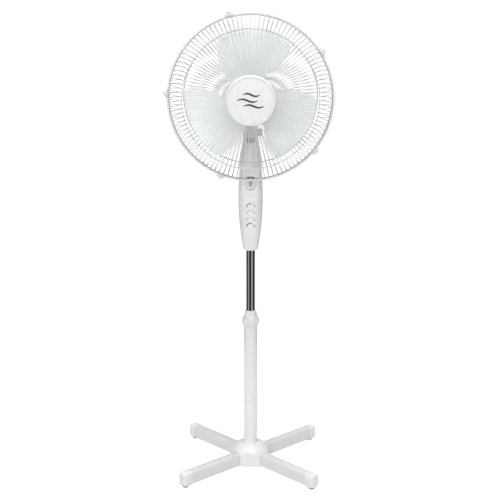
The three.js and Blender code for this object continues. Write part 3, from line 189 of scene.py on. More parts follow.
def wound_copper(name):
    """Enamelled copper wire, wound in tight turns."""
    nodes = Nodes(name)
    nodes.vary_colour(nodes.noise(80.0), (0.45, 0.18, 0.08), (0.62, 0.28, 0.13))
    nodes.bump(nodes.noise(500.0, 2.0, (1, 6, 1)), 0.15)
    nodes.set(Metallic=0.9, Roughness=0.35)
    return nodes.material


MATERIAL = {
    "white_plastic": moulded("white_plastic", (0.82, 0.825, 0.835), 0.3, coat=0.15),
    "satin_plastic": moulded("satin_plastic", (0.85, 0.852, 0.86), 0.42, grain_mm=0.008),
    "white_paint": painted("white_paint", (0.74, 0.74, 0.74), 0.3),
    "grille_paint": painted("grille_paint", (0.68, 0.685, 0.69), 0.34),
    "blade_plastic": clear_blue("blade_plastic"),
    "chrome": plated("chrome", (0.86, 0.87, 0.88), 0.04),
    "steel": plated("steel", (0.5, 0.51, 0.53), 0.32, brushed=0.01, stretch=(1, 8, 1)),
    "cast_aluminium": plated("cast_aluminium", (0.55, 0.56, 0.57), 0.5, brushed=0.03),
    "winding": wound_copper("winding"),
    "inner_plastic": moulded("inner_plastic", (0.22, 0.225, 0.23), 0.5, grain_mm=0.01),
    "rubber": soft_rubber("rubber"),
}
PANEL_WHITE = moulded("panel_white", (0.9, 0.905, 0.92), 0.24, grain_mm=0.002, coat=0.4)
BADGE_WHITE = moulded("badge_white", (0.84, 0.84, 0.845), 0.28, grain_mm=0.003, coat=0.3)
COLLAR_WHITE = moulded("collar_white", (0.79, 0.82, 0.855), 0.32, grain_mm=0.006)
# The rear guard's wires are a darker grey than the front ones: painted shade for the wires behind the blades.
REAR_WIRE_PAINTED_SHADE = painted("rear_wire_painted_shade", (0.56, 0.565, 0.57), 0.35)
RIM_WHITE = moulded("rim_white", (0.8, 0.805, 0.81), 0.35)
CLIP_WHITE = moulded("clip_white", (0.76, 0.765, 0.77), 0.38)
# Near black for print, also used for the painted shadows round the top and bottom speed buttons.
PRINT_AND_SHADOW_GREY = moulded("print_and_shadow_grey", (0.035, 0.035, 0.037), 0.45, grain_mm=0.001)
# A mid grey for the timer's pointer and its off mark, also used for the painted shadows round the middle speed
# buttons.
POINTER_AND_SHADOW_GREY = moulded("pointer_and_shadow_grey", (0.42, 0.425, 0.435), 0.4)
DIAL_GREY = moulded("dial_grey", (0.62, 0.625, 0.635), 0.35)
RING_WHITE = moulded("ring_white", (0.97, 0.97, 0.975), 0.25, grain_mm=0.002, coat=0.4)
# A lighter white than the column's plastic, for the yoke: painted light to offset the shade the guard casts on it.
YOKE_PAINTED_LIGHT = moulded("yoke_painted_light", (0.93, 0.932, 0.94), 0.42, grain_mm=0.008)
POLE_WHITE = painted("pole_white", (0.83, 0.83, 0.83), 0.3)
# The rear rim is a darker grey than the front rim: painted shade for the rim lying behind.
REAR_RIM_PAINTED_SHADE = moulded("rear_rim_painted_shade", (0.68, 0.685, 0.69), 0.4)
# A dark grey for the hoop just inside each rim: a painted shadow line between the front and rear rims.
RIM_SHADE_LINE_GREY = painted("rim_shade_line_grey", (0.4, 0.403, 0.406), 0.4)
KNOB_GREY = moulded("knob_grey", (0.5, 0.505, 0.51), 0.45)
# Near black for the plates behind the yoke's slots: painted shade.
SLOT_SHADE_GREY = moulded("slot_shade_grey", (0.05, 0.05, 0.052), 0.6, grain_mm=0.03)


# ---------------------------------------------------------------- making meshes


def piece(name, verts, faces, sharp=35):
    """A mesh object from points in millimetres, shaded smooth except at sharp edges."""
    mesh = bpy.data.meshes.new(name)
    mesh.from_pydata([tuple(float(c) * MM for c in v) for v in verts], [], faces)
    obj = bpy.data.objects.new(name, mesh)
    SCENE.collection.objects.link(obj)
    clean(obj, sharp)
    return obj


def clean(obj, sharp):
    """Welds points that lie on each other, points the faces outwards and sets the shading."""
    edit = bmesh.new()
    edit.from_mesh(obj.data)
    bmesh.ops.remove_doubles(edit, verts=edit.verts, dist=WELD_M)
    bmesh.ops.dissolve_degenerate(edit, edges=edit.edges, dist=WELD_M / 10)
    bmesh.ops.recalc_face_normals(edit, faces=edit.faces)
    edit.to_mesh(obj.data)
    edit.free()
    obj.data.shade_smooth()
    obj.data.set_sharp_from_angle(angle=math.radians(sharp))


def settle(obj):
    """Applies an object's modifiers to its mesh."""
    bpy.context.view_layer.update()
    graph = bpy.context.evaluated_depsgraph_get()
    made = bpy.data.meshes.new_from_object(obj.evaluated_get(graph))
    obj.modifiers.clear()
    obj.data = made


def carve(obj, cutters, operation="DIFFERENCE", sharp=35):
    """Cuts an object with others, which are used up."""
    for cutter in cutters:
        cut = obj.modifiers.new("cut", "BOOLEAN")
        cut.operation = operation
        cut.solver = "EXACT"
        cut.object = cutter
        settle(obj)
        bpy.data.objects.remove(cutter)
    clean(obj, sharp)
    return obj


def bevel(obj, width):
    """Rounds an object's sharp edges."""
    made = obj.modifiers.new("bevel", "BEVEL")
    made.width = width * MM
    made.segments = 2
    made.limit_method = "ANGLE"
    made.angle_limit = math.radians(35)
    settle(obj)
    clean(obj, 50)
    return obj


def dress(obj, node, material=None, stands_for=True):
    """Rides an object on a CAD node's body, in that node's finish, and usually in its place."""
    obj.data.materials.clear()
    obj.data.materials.append(material or MATERIAL[NODE_SLOT[node]])
    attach(obj, NODE_BODY[node])
    if stands_for:
        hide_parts(node)
    return obj


def filleted(points, steps=5):
    """An outline with its corners rounded. A point is (a, b) or (a, b, radius of its corner)."""
    made = []
    for i, point in enumerate(points):
        here = np.array(point[:2], float)
        radius = point[2] if len(point) > 2 else 0
        if not radius:
            made.append(here)
            continue
        before = np.array(points[i - 1][:2], float) - here
        after = np.array(points[(i + 1) % len(points)][:2], float) - here
        before /= np.linalg.norm(before)
        after /= np.linalg.norm(after)
        half = math.acos(max(-1.0, min(1.0, float(before @ after)))) / 2
        middle = (before + after) / np.linalg.norm(before + after)
        centre = here + middle * radius / math.sin(half)
        start = here + before * radius / math.tan(half) - centre
        end = here + after * radius / math.tan(half) - centre
        sweep = math.pi - 2 * half
        for k in range(steps + 1):
            t = k / steps
            mixed = (start * math.sin(sweep * (1 - t)) + end * math.sin(sweep * t)) / math.sin(sweep)
            made.append(centre + mixed)
    return made


def placed(axis, radius, height, angle, centre):
    """A point at a radius and height round an axis through a centre."""
    c, s = radius * math.cos(angle), radius * math.sin(angle)
    x, y, z = {"x": (height, c, s), "y": (c, height, s), "z": (c, s, height)}[axis]
    return (x + centre[0], y + centre[1], z + centre[2])


def around(axis, centre, height, reach, count):
    """A ring of points round an axis. Its reach is a radius, or gives the radius at an angle."""
    made = []
    for k in range(count):
        angle = 2 * math.pi * k / count
        made.append(placed(axis, reach(angle) if callable(reach) else reach, height, angle, centre))
    return made


def turned(name, axis, centre, profile, segments, closed=False):
    """A turned piece. Its profile runs from the axis back to the axis, or is a closed ring."""
    points = filleted(profile)
    verts = []
    faces = []
    for k in range(segments):
        angle = 2 * math.pi * k / segments
        verts += [placed(axis, r, h, angle, centre) for r, h in points]
    count = len(points)
    spans = count if closed else count - 1
    for k in range(segments):
        for i in range(spans):
            j = (i + 1) % count
            a, b = k * count, ((k + 1) % segments) * count
            faces.append((a + i, a + j, b + j, b + i))
    return piece(name, verts, faces)


def rings(name, sections, capped=True, sharp=35):
    """A skin over rings of points, with flat ends."""
    count = len(sections[0])
    verts = [p for section in sections for p in section]
    faces = []
    for i in range(len(sections) - 1):
        for j in range(count):
            k = (j + 1) % count
            a, b = i * count, (i + 1) * count
            faces.append((a + j, a + k, b + k, b + j))
    if capped:
        last = (len(sections) - 1) * count
        faces.append(tuple(range(count)))
        faces.append(tuple(last + j for j in reversed(range(count))))
    return piece(name, verts, faces, sharp)


def waved(name, axis, centre, stations, wave, count, capped=True):
    """A skin over rings round an axis. A station is (height, radius, how much of the wave is added to it)."""
    sections = []
    for height, radius, swell in stations:
        sections.append(around(axis, centre, height, lambda angle: radius + swell * wave(angle), count))
    return rings(name, sections if capped else sections + [sections[0]], capped)


def shell(name, outer, inner, sharp=35):
    """A closed skin between two grids of points that have the same shape."""
    outer, inner = np.array(outer, float), np.array(inner, float)
    rows, columns = outer.shape[:2]
    verts = list(outer.reshape(-1, 3)) + list(inner.reshape(-1, 3))
    out = np.arange(rows * columns).reshape(rows, columns)
    under = out + rows * columns
    faces = []
    for i in range(rows - 1):
        for j in range(columns - 1):
            for at in (out, under):
                faces.append((at[i, j], at[i, j + 1], at[i + 1, j + 1], at[i + 1, j]))
    for i in range(rows - 1):
        for j in (0, columns - 1):
            faces.append((out[i, j], out[i + 1, j], under[i + 1, j], under[i, j]))
    for j in range(columns - 1):
        for i in (0, rows - 1):
            faces.append((out[i, j], out[i, j + 1], under[i, j + 1], under[i, j]))
    return piece(name, verts, [tuple(map(int, face)) for face in faces], sharp)


def block(name, low, high):
    (x0, y0, z0), (x1, y1, z1) = low, high
    verts = [(x, y, z) for x in (x0, x1) for y in (y0, y1) for z in (z0, z1)]
    faces = [(0, 1, 3, 2), (4, 6, 7, 5), (0, 4, 5, 1), (2, 3, 7, 6), (0, 2, 6, 4), (1, 5, 7, 3)]
    return piece(name, verts, faces)


def rod(name, axis, centre, radius, start, end, segments=48):
    return turned(name, axis, centre, [(0, start), (radius, start), (radius, end), (0, end)], segments)


def sweep(paths, radius, sides, closed=False):
    """Round wires along paths of points, as (verts, faces)."""
    verts = []
    faces = []
    for path in paths:
        points = np.array(path, float)
        count = len(points)
        if closed:
            tangents = np.roll(points, -1, 0) - np.roll(points, 1, 0)
        else:
            tangents = np.gradient(points, axis=0)
        tangents /= np.linalg.norm(tangents, axis=1)[:, None]
        # The side that each ring is drawn from: square to the path, in step along it.
        guide = np.cross(tangents[0], (0.0, 1.0, 0.0))
        if np.linalg.norm(guide) < 0.3:
            guide = np.cross(tangents[0], (0.0, 0.0, 1.0))
        start = len(verts)
        for p, t in zip(points, tangents):
            guide = guide - (guide @ t) * t
            guide /= np.linalg.norm(guide)
            other = np.cross(t, guide)
            for k in range(sides):
                angle = 2 * math.pi * k / sides
                verts.append(p + radius * (math.cos(angle) * guide + math.sin(angle) * other))
        for i in range(count if closed else count - 1):
            a, b = start + i * sides, start + ((i + 1) % count) * sides
            for k in range(sides):
                m = (k + 1) % sides
                faces.append((a + k, a + m, b + m, b + k))
        if not closed:
            faces.append(tuple(start + k for k in range(sides)))
            faces.append(tuple(start + (count - 1) * sides + k for k in reversed(range(sides))))
    return verts, faces


def joined(name, parts):
    """One piece out of several (verts, faces) pairs."""
    verts = []
    faces = []
    for more_verts, more_faces in parts:
        start = len(verts)
        verts += list(more_verts)
        faces += [tuple(start + i for i in face) for face in more_faces]
    return piece(name, verts, faces)


def taken(obj):
    """An object's points in millimetres and its faces, and the object is removed."""
    verts = [tuple(c / MM for c in v.co) for v in obj.data.vertices]
    faces = [tuple(p.vertices) for p in obj.data.polygons]
    bpy.data.objects.remove(obj)
    return verts, faces


def rounded_rectangle(width, height, corner, steps=6):
    """Points round a rectangle with round corners, anticlockwise from the right."""
    made = []
    for quarter, (sx, sy) in enumerate([(1, 1), (-1, 1), (-1, -1), (1, -1)]):
        for k in range(steps + 1):
            angle = math.radians(90 * (quarter + k / steps))
            x = sx * (width / 2 - corner) + corner * math.cos(angle)
            y = sy * (height / 2 - corner) + corner * math.sin(angle)
            made.append((x, y))
    return made


def window_cutter(centre, width, height, corner, front, back):
    """A prism along Y, with round corners, to cut a window with. Its centre is (x, z)."""
    outline = rounded_rectangle(width, height, corner, 4)
    return rings("window", [[(centre[0] + x, y, centre[1] + z) for x, z in outline] for y in (front, back)])


def turn_z(points, degrees):
    c, s = math.cos(math.radians(degrees)), math.sin(math.radians(degrees))
    return [(c * x - s * y, s * x + c * y, z) for x, y, z in points]


# ---------------------------------------------------------------- cross base

LEG_WIDTH = 27
LEG_CORNER = 6
LEG_LOW, LEG_HIGH = box_mm("cross_bar_lower")[0][2], box_mm("cross_bar_lower")[1][2]
LEG_MIDDLE = (LEG_LOW + LEG_HIGH) / 2
LEG_REACH = 246
LEG_ANGLES = (43.1, 133.1, 223.1, 313.1)
BASE_TURN = LEG_ANGLES[0] - 45
HALF_LAP = LEG_WIDTH / 2 + 0.3


def cross_bar(node, angle, keep_low):
    """A bar through the axis. Where the other bar crosses it, only its lower or upper half is there."""
    outline = rounded_rectangle(LEG_WIDTH, LEG_HIGH - LEG_LOW, LEG_CORNER)

    def section(along, halved):
        points = []
        for y, z in outline:
            if halved:
                z = min(z, -0.15) if keep_low else max(z, 0.15)
            points.append((along, y, LEG_MIDDLE + z))
        return turn_z(points, angle)

    stations = [(-LEG_REACH, False), (-HALF_LAP, False), (-HALF_LAP, True)]
    stations += [(HALF_LAP, True), (HALF_LAP, False), (LEG_REACH, False)]
    dress(rings(node + "_skin", [section(*s) for s in stations]), node)


def end_cap(node, angle):
    """A cap over the end of a bar: a lip round the bar, and a nose rounded all round."""
    low, high = box_mm(node)
    height = high[2] - low[2]
    width = LEG_WIDTH + 3
    mouth = LEG_REACH - 19
    nose = LEG_REACH + 8
    round_nose = 8

    def section(along, inset):
        outline = rounded_rectangle(width - 2 * inset, height - 2 * inset, max(8 - inset, 1.2))
        return turn_z([(along, y, LEG_MIDDLE + z) for y, z in outline], angle)

    sections = [section(LEG_REACH + 0.4, 1.15), section(mouth, 1.15), section(mouth, 0.8)]
    sections += [section(mouth + 0.3, 0.25), section(mouth + 1, 0)]
    steps = 9
    for k in range(steps + 1):
        t = math.pi / 2 * k / steps
        sections.append(section(nose - round_nose + round_nose * math.sin(t), round_nose * (1 - math.cos(t)) * 0.8))
    dress(rings(node + "_skin", sections), node)


def foot(node):
    low, high = box_mm(node)
    centre = ((low[0] + high[0]) / 2, (low[1] + high[1]) / 2, 0)
    top = high[2] + 0.2
    turned_foot = turned(
        node + "_skin", "z", centre,
        [(0, 0), (7.5, 0, 0.4), (7.95, 0.6, 0.4), (7.95, top), (0, top)], 48)
    dress(turned_foot, node)


def base_cover(node):
    """An eight-sided cover whose walls run into a dome, with a collar round the pole."""
    low, high = box_mm(node)
    flat, slant = 51.0, 54.0
    wall = 2.5
    top = high[2] - 2
    dome_radius, dome_height = 58.0, 40.0
    dome_base = top - 36
    blend = 2.5
    columns = 192

    def octagon(angle, inset):
        """How far the eight walls are from the axis, with their corners rounded."""
        total = 0.0
        for k in range(8):
            reach = (flat if k % 2 == 0 else slant) - inset
            lean = math.cos(angle - math.radians(45 * k + BASE_TURN))
            if lean > 0:
                total += (lean / reach) ** 40
        return total ** (-1 / 40)

    def dome(z, inset):
        share = max(0.0, (z - dome_base) / dome_height)
        return dome_radius * math.sqrt(max(0.0, 1 - share**2)) - inset

    def smaller(a, b):
        """The smaller of two reaches, blended where they are near each other."""
        mix = max(blend - abs(a - b), 0) / blend
        return min(a, b) - mix * mix * blend / 4

    def ring(z, inset):
        return around("z", AXIS, z, lambda angle: smaller(octagon(angle, inset), dome(z, inset)), columns)

    bore = box_mm("outer_pole")[1][0] + 0.35
    collar = bore + 4.6
    inside_top = top - wall
    edge = [
        (collar + 2.2, top - 0.2), (collar + 0.7, top + 0.2), (collar, top + 0.8), (collar - 0.2, top + 1.5),
        (collar - 0.9, top + 2), (bore + 0.4, top + 2), (bore, top + 1.6), (bore, inside_top),
    ]
    sections = [ring(low[2], 1.0), ring(low[2] + 0.4, 0.3), ring(low[2] + 1, 0)]
    sections += [ring(z, 0) for z in np.linspace(low[2] + 4, top - 1.5, 34)]
    sections += [around("z", AXIS, z, radius, columns) for radius, z in edge]
    sections += [ring(z - wall, wall) for z in np.linspace(inside_top, low[2] + 4, 16)]
    sections += [ring(low[2], wall), sections[0]]
    cover = rings(node + "_skin", sections, capped=False, sharp=40)
    cutters = []
    for angle in LEG_ANGLES[:2]:
        outline = rounded_rectangle(LEG_WIDTH + 1.2, 2 * (LEG_HIGH + 0.6), LEG_CORNER + 0.5)
        ends = [turn_z([(x, y, z) for y, z in outline], angle) for x in (-80, 80)]
        cutters.append(rings("channel", ends))
    carve(cover, cutters, sharp=40)
    dress(cover, node)


cross_bar("cross_bar_lower", LEG_ANGLES[0], True)
cross_bar("cross_bar_upper", LEG_ANGLES[1], False)
for number, leg_angle in enumerate(LEG_ANGLES, 1):
    end_cap(f"end_cap_{number}", leg_angle)
    foot(f"foot_{number}")
base_cover("base_cover")

# ---------------------------------------------------------------- pole and height lock


def outer_pole(node):
    low, high = box_mm(node)
    radius = high[0]
    profile = [(radius - 1.5, low[2]), (radius, low[2]), (radius, high[2], 0.5), (radius - 1.5, high[2], 0.5)]
    dress(turned(node + "_skin", "z", AXIS, profile, 128, closed=True), node, POLE_WHITE)


def inner_tube(node):
    low, high = box_mm(node)
    radius = high[0]
    profile = [(radius - 1.2, low[2]), (radius, low[2], 0.3), (radius, high[2], 0.3), (radius - 1.2, high[2])]
    dress(turned(node + "_skin", "z", AXIS, profile, 128, closed=True), node)


def pole_socket(node):
    """The socket in the pole's mouth: a plug, a band on the pole's edge and the collet above it."""
    low, high = box_mm(node)
    pole_top = box_mm("outer_pole")[1][2]
    band = high[0]
    bore = box_mm("inner_tube")[1][0] + 0.4
    plug = box_mm("outer_pole")[1][0] - 1.85
    collet = bore + 4.05
    profile = [
        (bore, low[2]), (plug, low[2], 0.5), (plug, pole_top + 0.3), (band - 0.6, pole_top + 0.3, 0.4),
        (band, pole_top + 2, 0.8), (band, pole_top + 5.2, 0.7), (collet, pole_top + 5.6),
        (collet, high[2], 0.8), (bore, high[2], 0.3),
    ]
    dress(turned(node + "_skin", "z", AXIS, profile, 96, closed=True), node, COLLAR_WHITE)


def lock_nut(node):
    """A ring with rounded grips, and a smooth cone up to the chrome tube."""
    low, high = box_mm(node)
    grips = 10
    body, grip = high[0] - 2.6, high[0] - 0.1
    bore = box_mm("inner_tube")[1][0] + 0.35
    wide_bore = bore + 4.5
    foot_z, shoulder, top = low[2], low[2] + 20, high[2]

    def grips_wave(angle):
        return (grip - body) * min(1.0, max(0.0, math.cos(grips * angle) + 0.35) * 1.1)

    cone_low, cone_high = wide_bore + 1.5, bore + 3.6
    stations = [
        (foot_z + 0.4, wide_bore, 0), (foot_z, wide_bore + 0.4, 0), (foot_z, body - 1, 0),
        (foot_z + 0.4, body - 0.3, 0.3), (foot_z + 1.2, body, 0.85), (foot_z + 2.2, body, 1),
        (shoulder - 1.6, body, 1), (shoulder - 0.6, body, 0.9), (shoulder - 0.1, body - 0.4, 0.6),
        (shoulder, cone_low + 1.2, 0), (shoulder + 0.2, cone_low + 0.3, 0), (shoulder + 0.8, cone_low, 0),
    ]
    for t in np.linspace(0.1, 1, 8):
        reach = cone_low + (cone_high - cone_low) * t**1.3
        stations.append((shoulder + 0.8 + (top - shoulder - 2.2) * t, reach, 0))
    stations += [
        (top - 0.5, cone_high - 0.4, 0), (top, cone_high - 1.2, 0), (top, bore + 0.5, 0), (top - 0.5, bore, 0),
        (top - 10, bore, 0), (top - 11, wide_bore, 0),
    ]
    dress(waved(node + "_skin", "z", AXIS, stations, grips_wave, 240, capped=False), node, COLLAR_WHITE)


outer_pole("outer_pole")
inner_tube("inner_tube")
pole_socket("pole_socket")
lock_nut("lock_nut")

# ---------------------------------------------------------------- control column

COLUMN_LOW = box_mm("column_front_cover")[0][2]
COLUMN_HIGH = box_mm("column_front_cover")[1][2]
COLUMN_SPLIT = (box_mm("column_front_cover")[1][1] + box_mm("column_rear_cover")[0][1]) / 2
COLUMN_WALL = 2.8
COLUMN_SQUARENESS = 2.4
HALF_COLUMNS = 56
# Height above the column's foot, half width and half depth.
COLUMN_SHAPE = np.array([
    [0, 19.5, 19.5], [24, 24, 24], [62, 29, 29.4], [117, 32.7, 33.5],
    [167, 32.7, 34], [217, 29.8, 31.5], [254, 25.3, 27], [285, 19.2, 20],
])


def column_size(z):
    """The column's half width and half depth at a height, on smooth curves through its stations."""
    heights = COLUMN_SHAPE[:, 0]
    rise = min(max(z - COLUMN_LOW, 0), heights[-1])
    slopes = np.gradient(COLUMN_SHAPE[:, 1:], heights, axis=0)
    i = min(int(np.searchsorted(heights, rise, "right")) - 1, len(heights) - 2)
    span = heights[i + 1] - heights[i]
    t = (rise - heights[i]) / span
    start, end = COLUMN_SHAPE[i, 1:], COLUMN_SHAPE[i + 1, 1:]
    blend = (2 * t**3 - 3 * t**2 + 1) * start + (3 * t**2 - 2 * t**3) * end
    return blend + span * ((t**3 - 2 * t**2 + t) * slopes[i] + (t**3 - t**2) * slopes[i + 1])


def squarish(value, power):
    return math.copysign(abs(value) ** power, value)


def half_section(half_width, half_depth, z, side, power):
    """The front or rear half of a section of the column, cut off where its two halves meet."""
    cut_y = COLUMN_SPLIT + 0.15 * side
    start = math.asin(squarish(cut_y / half_depth, 1 / power))
    ends = (start, math.pi - start) if side > 0 else (start, -math.pi - start)
    points = []
    for angle in ends[0] + (ends[1] - ends[0]) * np.arange(HALF_COLUMNS + 1) / HALF_COLUMNS:
        x = squarish(math.cos(angle), power) * half_width
        y = squarish(math.sin(angle), power) * half_depth
        points.append((x, y, z))
    return points


def column_cover(node, side):
    """Half of the column: a shell with a rounded foot that closes in round the chrome tube."""
    power = 2 / COLUMN_SQUARENESS
    round_foot = 4
    tube_hole = box_mm("inner_tube")[1][0] + 0.35
    outer, inner = [], []
    for z in np.linspace(COLUMN_HIGH, COLUMN_LOW + round_foot, 64):
        width, depth = column_size(z)
        outer.append(half_section(width, depth, z, side, power))
        inner.append(half_section(width - COLUMN_WALL, depth - COLUMN_WALL, z, side, power))
    width, depth = column_size(COLUMN_LOW + round_foot)
    for t in np.linspace(0.15, 1, 6):
        inset = round_foot * (1 - math.cos(math.pi / 2 * t))
        z = COLUMN_LOW + round_foot * (1 - math.sin(math.pi / 2 * t))
        outer.append(half_section(width - inset, depth - inset, z, side, power))
        inset_in = max(inset - COLUMN_WALL, 0) + COLUMN_WALL
        inner.append(half_section(width - inset_in, depth - inset_in, z + COLUMN_WALL * t, side, power))
    outer.append(half_section(tube_hole, tube_hole, COLUMN_LOW, side, 1))
    inner.append(half_section(tube_hole, tube_hole, COLUMN_LOW + COLUMN_WALL, side, 1))
    return shell(node + "_skin", outer, inner)


def front_y(x, z):
    """The Y of the column's front surface."""
    width, depth = column_size(z)
    share = min(abs(x) / width, 0.999)
    return -depth * (1 - share**COLUMN_SQUARENESS) ** (1 / COLUMN_SQUARENESS)


DIAL = joint_mm("timer_turn")
BUTTONS = {node: sum(box_mm(node)) / 2 for node in (f"speed_button_{i}" for i in range(1, 5))}
BUTTON_SIZE = (box_mm("speed_button_1")[1] - box_mm("speed_button_1")[0]) / 2
PANEL_PROUD = 0.8
DIAL_RADIUS = box_mm("control_panel")[1][0]
PANEL_TAIL = 17.0
SPINDLE_HOLE = 3.4
PANEL_TAIL_Z = box_mm("control_panel")[0][2] + PANEL_TAIL


def oval(centre, half_width, half_height, y, count):
    """A ring of points in a plane square to Y."""
    made = []
    for k in range(count):
        angle = 2 * math.pi * k / count
        made.append((centre[0] + half_width * math.cos(angle), y, centre[2] + half_height * math.sin(angle)))
    return made


def oval_cutter(centre, half_width, half_height, count):
    return rings("hole", [oval(centre, half_width, half_height, y, count) for y in (-60, -10)])


def control_cutters(play):
    """Tools for the holes of the buttons and of the timer's spindle."""
    made = [oval_cutter(centre, BUTTON_SIZE[0] + play, BUTTON_SIZE[2] + play, 48) for centre in BUTTONS.values()]
    return made + [oval_cutter(DIAL, SPINDLE_HOLE, SPINDLE_HOLE, 24)]


def panel_half_width(z):
    """Half the panel's width at a height: a round head, straight sides and a round tail."""
    lean = math.asin((DIAL_RADIUS - PANEL_TAIL) / (DIAL[2] - PANEL_TAIL_Z))
    top_touch = DIAL[2] - DIAL_RADIUS * math.sin(lean)
    tail_touch = PANEL_TAIL_Z - PANEL_TAIL * math.sin(lean)
    if z >= top_touch:
        return math.sqrt(max(DIAL_RADIUS**2 - (z - DIAL[2]) ** 2, 0))
    if z <= tail_touch:
        return math.sqrt(max(PANEL_TAIL**2 - (z - PANEL_TAIL_Z) ** 2, 0))
    t = (z - tail_touch) / (top_touch - tail_touch)
    return math.cos(lean) * (PANEL_TAIL + (DIAL_RADIUS - PANEL_TAIL) * t)


def control_panel(node):
    """A thin light panel that follows the column's front, with a rounded edge."""
    low, high = PANEL_TAIL_Z - PANEL_TAIL, DIAL[2] + DIAL_RADIUS
    rows, columns = 120, 44
    outer, inner = [], []
    for i in range(rows + 1):
        z = (low + high) / 2 - (high - low) / 2 * math.cos(math.pi * i / rows) * 0.99999
        half = max(panel_half_width(z), 0.02)
        top_row, under_row = [], []
        for j in range(columns + 1):
            share = -math.cos(math.pi * j / columns)
            x = share * half
            edge = min((1 - abs(share)) * half, z - low, high - z)
            lift = PANEL_PROUD * min(1.0, max(edge, 0) / 0.9) ** 0.5
            top_row.append((x, front_y(x, z) - 0.04 - lift, z))
            under_row.append((x, front_y(x, z) + 0.1, z))
        outer.append(top_row)
        inner.append(under_row)
    panel = shell(node + "_skin", outer, inner, sharp=60)
    carve(panel, control_cutters(0.35), sharp=60)
    dress(panel, node, PANEL_WHITE)


def mark(name, rows, surface, thick, sunk, node, material):
    """A thin raised mark on a surface, from rows of (x, z) points. The surface gives its Y at (x, z)."""
    outer = [[(x, surface(x, z) - thick, z) for x, z in row] for row in rows]
    inner = [[(x, surface(x, z) + sunk, z) for x, z in row] for row in rows]
    dress(shell(name, outer, inner), node, material, stands_for=False)


def panel_y(x, z):
    return front_y(x, z) - PANEL_PROUD


def print_and_shadow_arc(name, centre, inner, outer, start, end, material, thick=0.12, squeeze=1.0):
    """A flat mark on the panel: part of a ring round a point, thin, on the column's curve. It draws the dial's print
    and the painted shadows round the speed buttons.
    """
    steps = max(6, int(abs(end - start) / 4))
    rows = []
    for angle in np.radians(start + (end - start) * np.arange(steps + 1) / steps):
        radii = inner + (outer - inner) * np.arange(4) / 3
        rows.append([(centre[0] + r * math.cos(angle), centre[2] + r * squeeze * math.sin(angle)) for r in radii])
    mark(name, rows, panel_y, thick, 0.05, "control_panel", material)


def dial_ring(name, inner, outer, height):
    """A round bead that stands on the panel round the dial."""
    sections = []
    for t in np.linspace(0, math.pi, 9):
        radius = (inner + outer) / 2 - (outer - inner) / 2 * math.cos(t)
        ring = oval(DIAL, radius, radius, 0, 128)
        sections.append([(x, panel_y(x, z) - height * math.sin(t) + 0.1, z) for x, _, z in ring])
    bead = rings(name, sections + [sections[0]], capped=False)
    dress(bead, "control_panel", RING_WHITE, stands_for=False)


def speed_button(node):
    """An oval cap with a soft edge and a shallow dish for the finger."""
    low, high = box_mm(node)
    centre = (low + high) / 2
    front, back = low[1], high[1]
    soft = 1.6
    dish = BUTTON_SIZE[2] - soft
    stations = [(back, 0.3)]
    for t in np.linspace(0, math.pi / 2, 7):
        stations.append((front + soft * (1 - math.sin(t)), soft * (1 - math.cos(t))))
    for share in np.linspace(0, 1, 7)[1:]:
        stations.append((front + 0.7 * math.sin(math.pi / 2 * share) ** 2, soft + dish * share * 0.98))
    sections = [oval(centre, BUTTON_SIZE[0] - inset, BUTTON_SIZE[2] - inset, y, 72) for y, inset in stations]
    dress(rings(node + "_skin", sections), node, PANEL_WHITE)


def timer_knob(node):
    """A round knob with a raised pointer across it, wide at the top and narrow at the tip."""
    low, high = box_mm(node)
    skirt = high[0]
    centre = (DIAL[0], 0, DIAL[2])
    under = low[1] + 11
    profile = [
        (0, high[1]), (3, high[1], 0.4), (3, under), (skirt, under, 0.4), (skirt, under - 3.2, 1.4),
        (skirt - 2.6, under - 5, 1.6), (0, under - 5),
    ]
    knob = turned(node + "_skin", "y", centre, profile, 96)
    dress(knob, node, PANEL_WHITE)
    outline = [(5.2 * math.cos(a), 4.6 + 3.4 * math.sin(a)) for a in np.linspace(0, math.pi, 17)]
    outline += [(-1.4, -7.2), (0, -8), (1.4, -7.2)]
    sections = []
    for y, scale in ((under - 4.6, 1.04), (low[1] + 1.2, 1), (low[1] + 0.35, 0.95), (low[1], 0.86)):
        sections.append([(DIAL[0] + x * scale, y, DIAL[2] + z * scale) for x, z in outline])
    dress(rings("timer_pointer", sections, sharp=40), node, POINTER_AND_SHADOW_GREY, stands_for=False)


def cable_gland(node):
    """A ribbed sleeve that closes in towards its mouth."""
    low, high = box_mm(node)
    centre = (0, 0, (low[2] + high[2]) / 2)
    seat, end = high[1] - 8, high[1]
    profile = [(3.5, low[1]), (5.9, low[1]), (5.9, seat), (8, seat, 0.4), (8, seat + 2, 0.8), (6.6, seat + 2.3)]
    for k in range(3):
        y = seat + 3 + 1.6 * k
        outer = 6.4 - 0.45 * k
        profile += [(outer - 0.8, y - 0.3), (outer, y), (outer, y + 0.7), (outer - 0.8, y + 1)]
    profile += [(4.6, end, 0.4), (3.5, end, 0.3)]
    dress(turned(node + "_skin", "y", centre, profile, 64, closed=True), node)


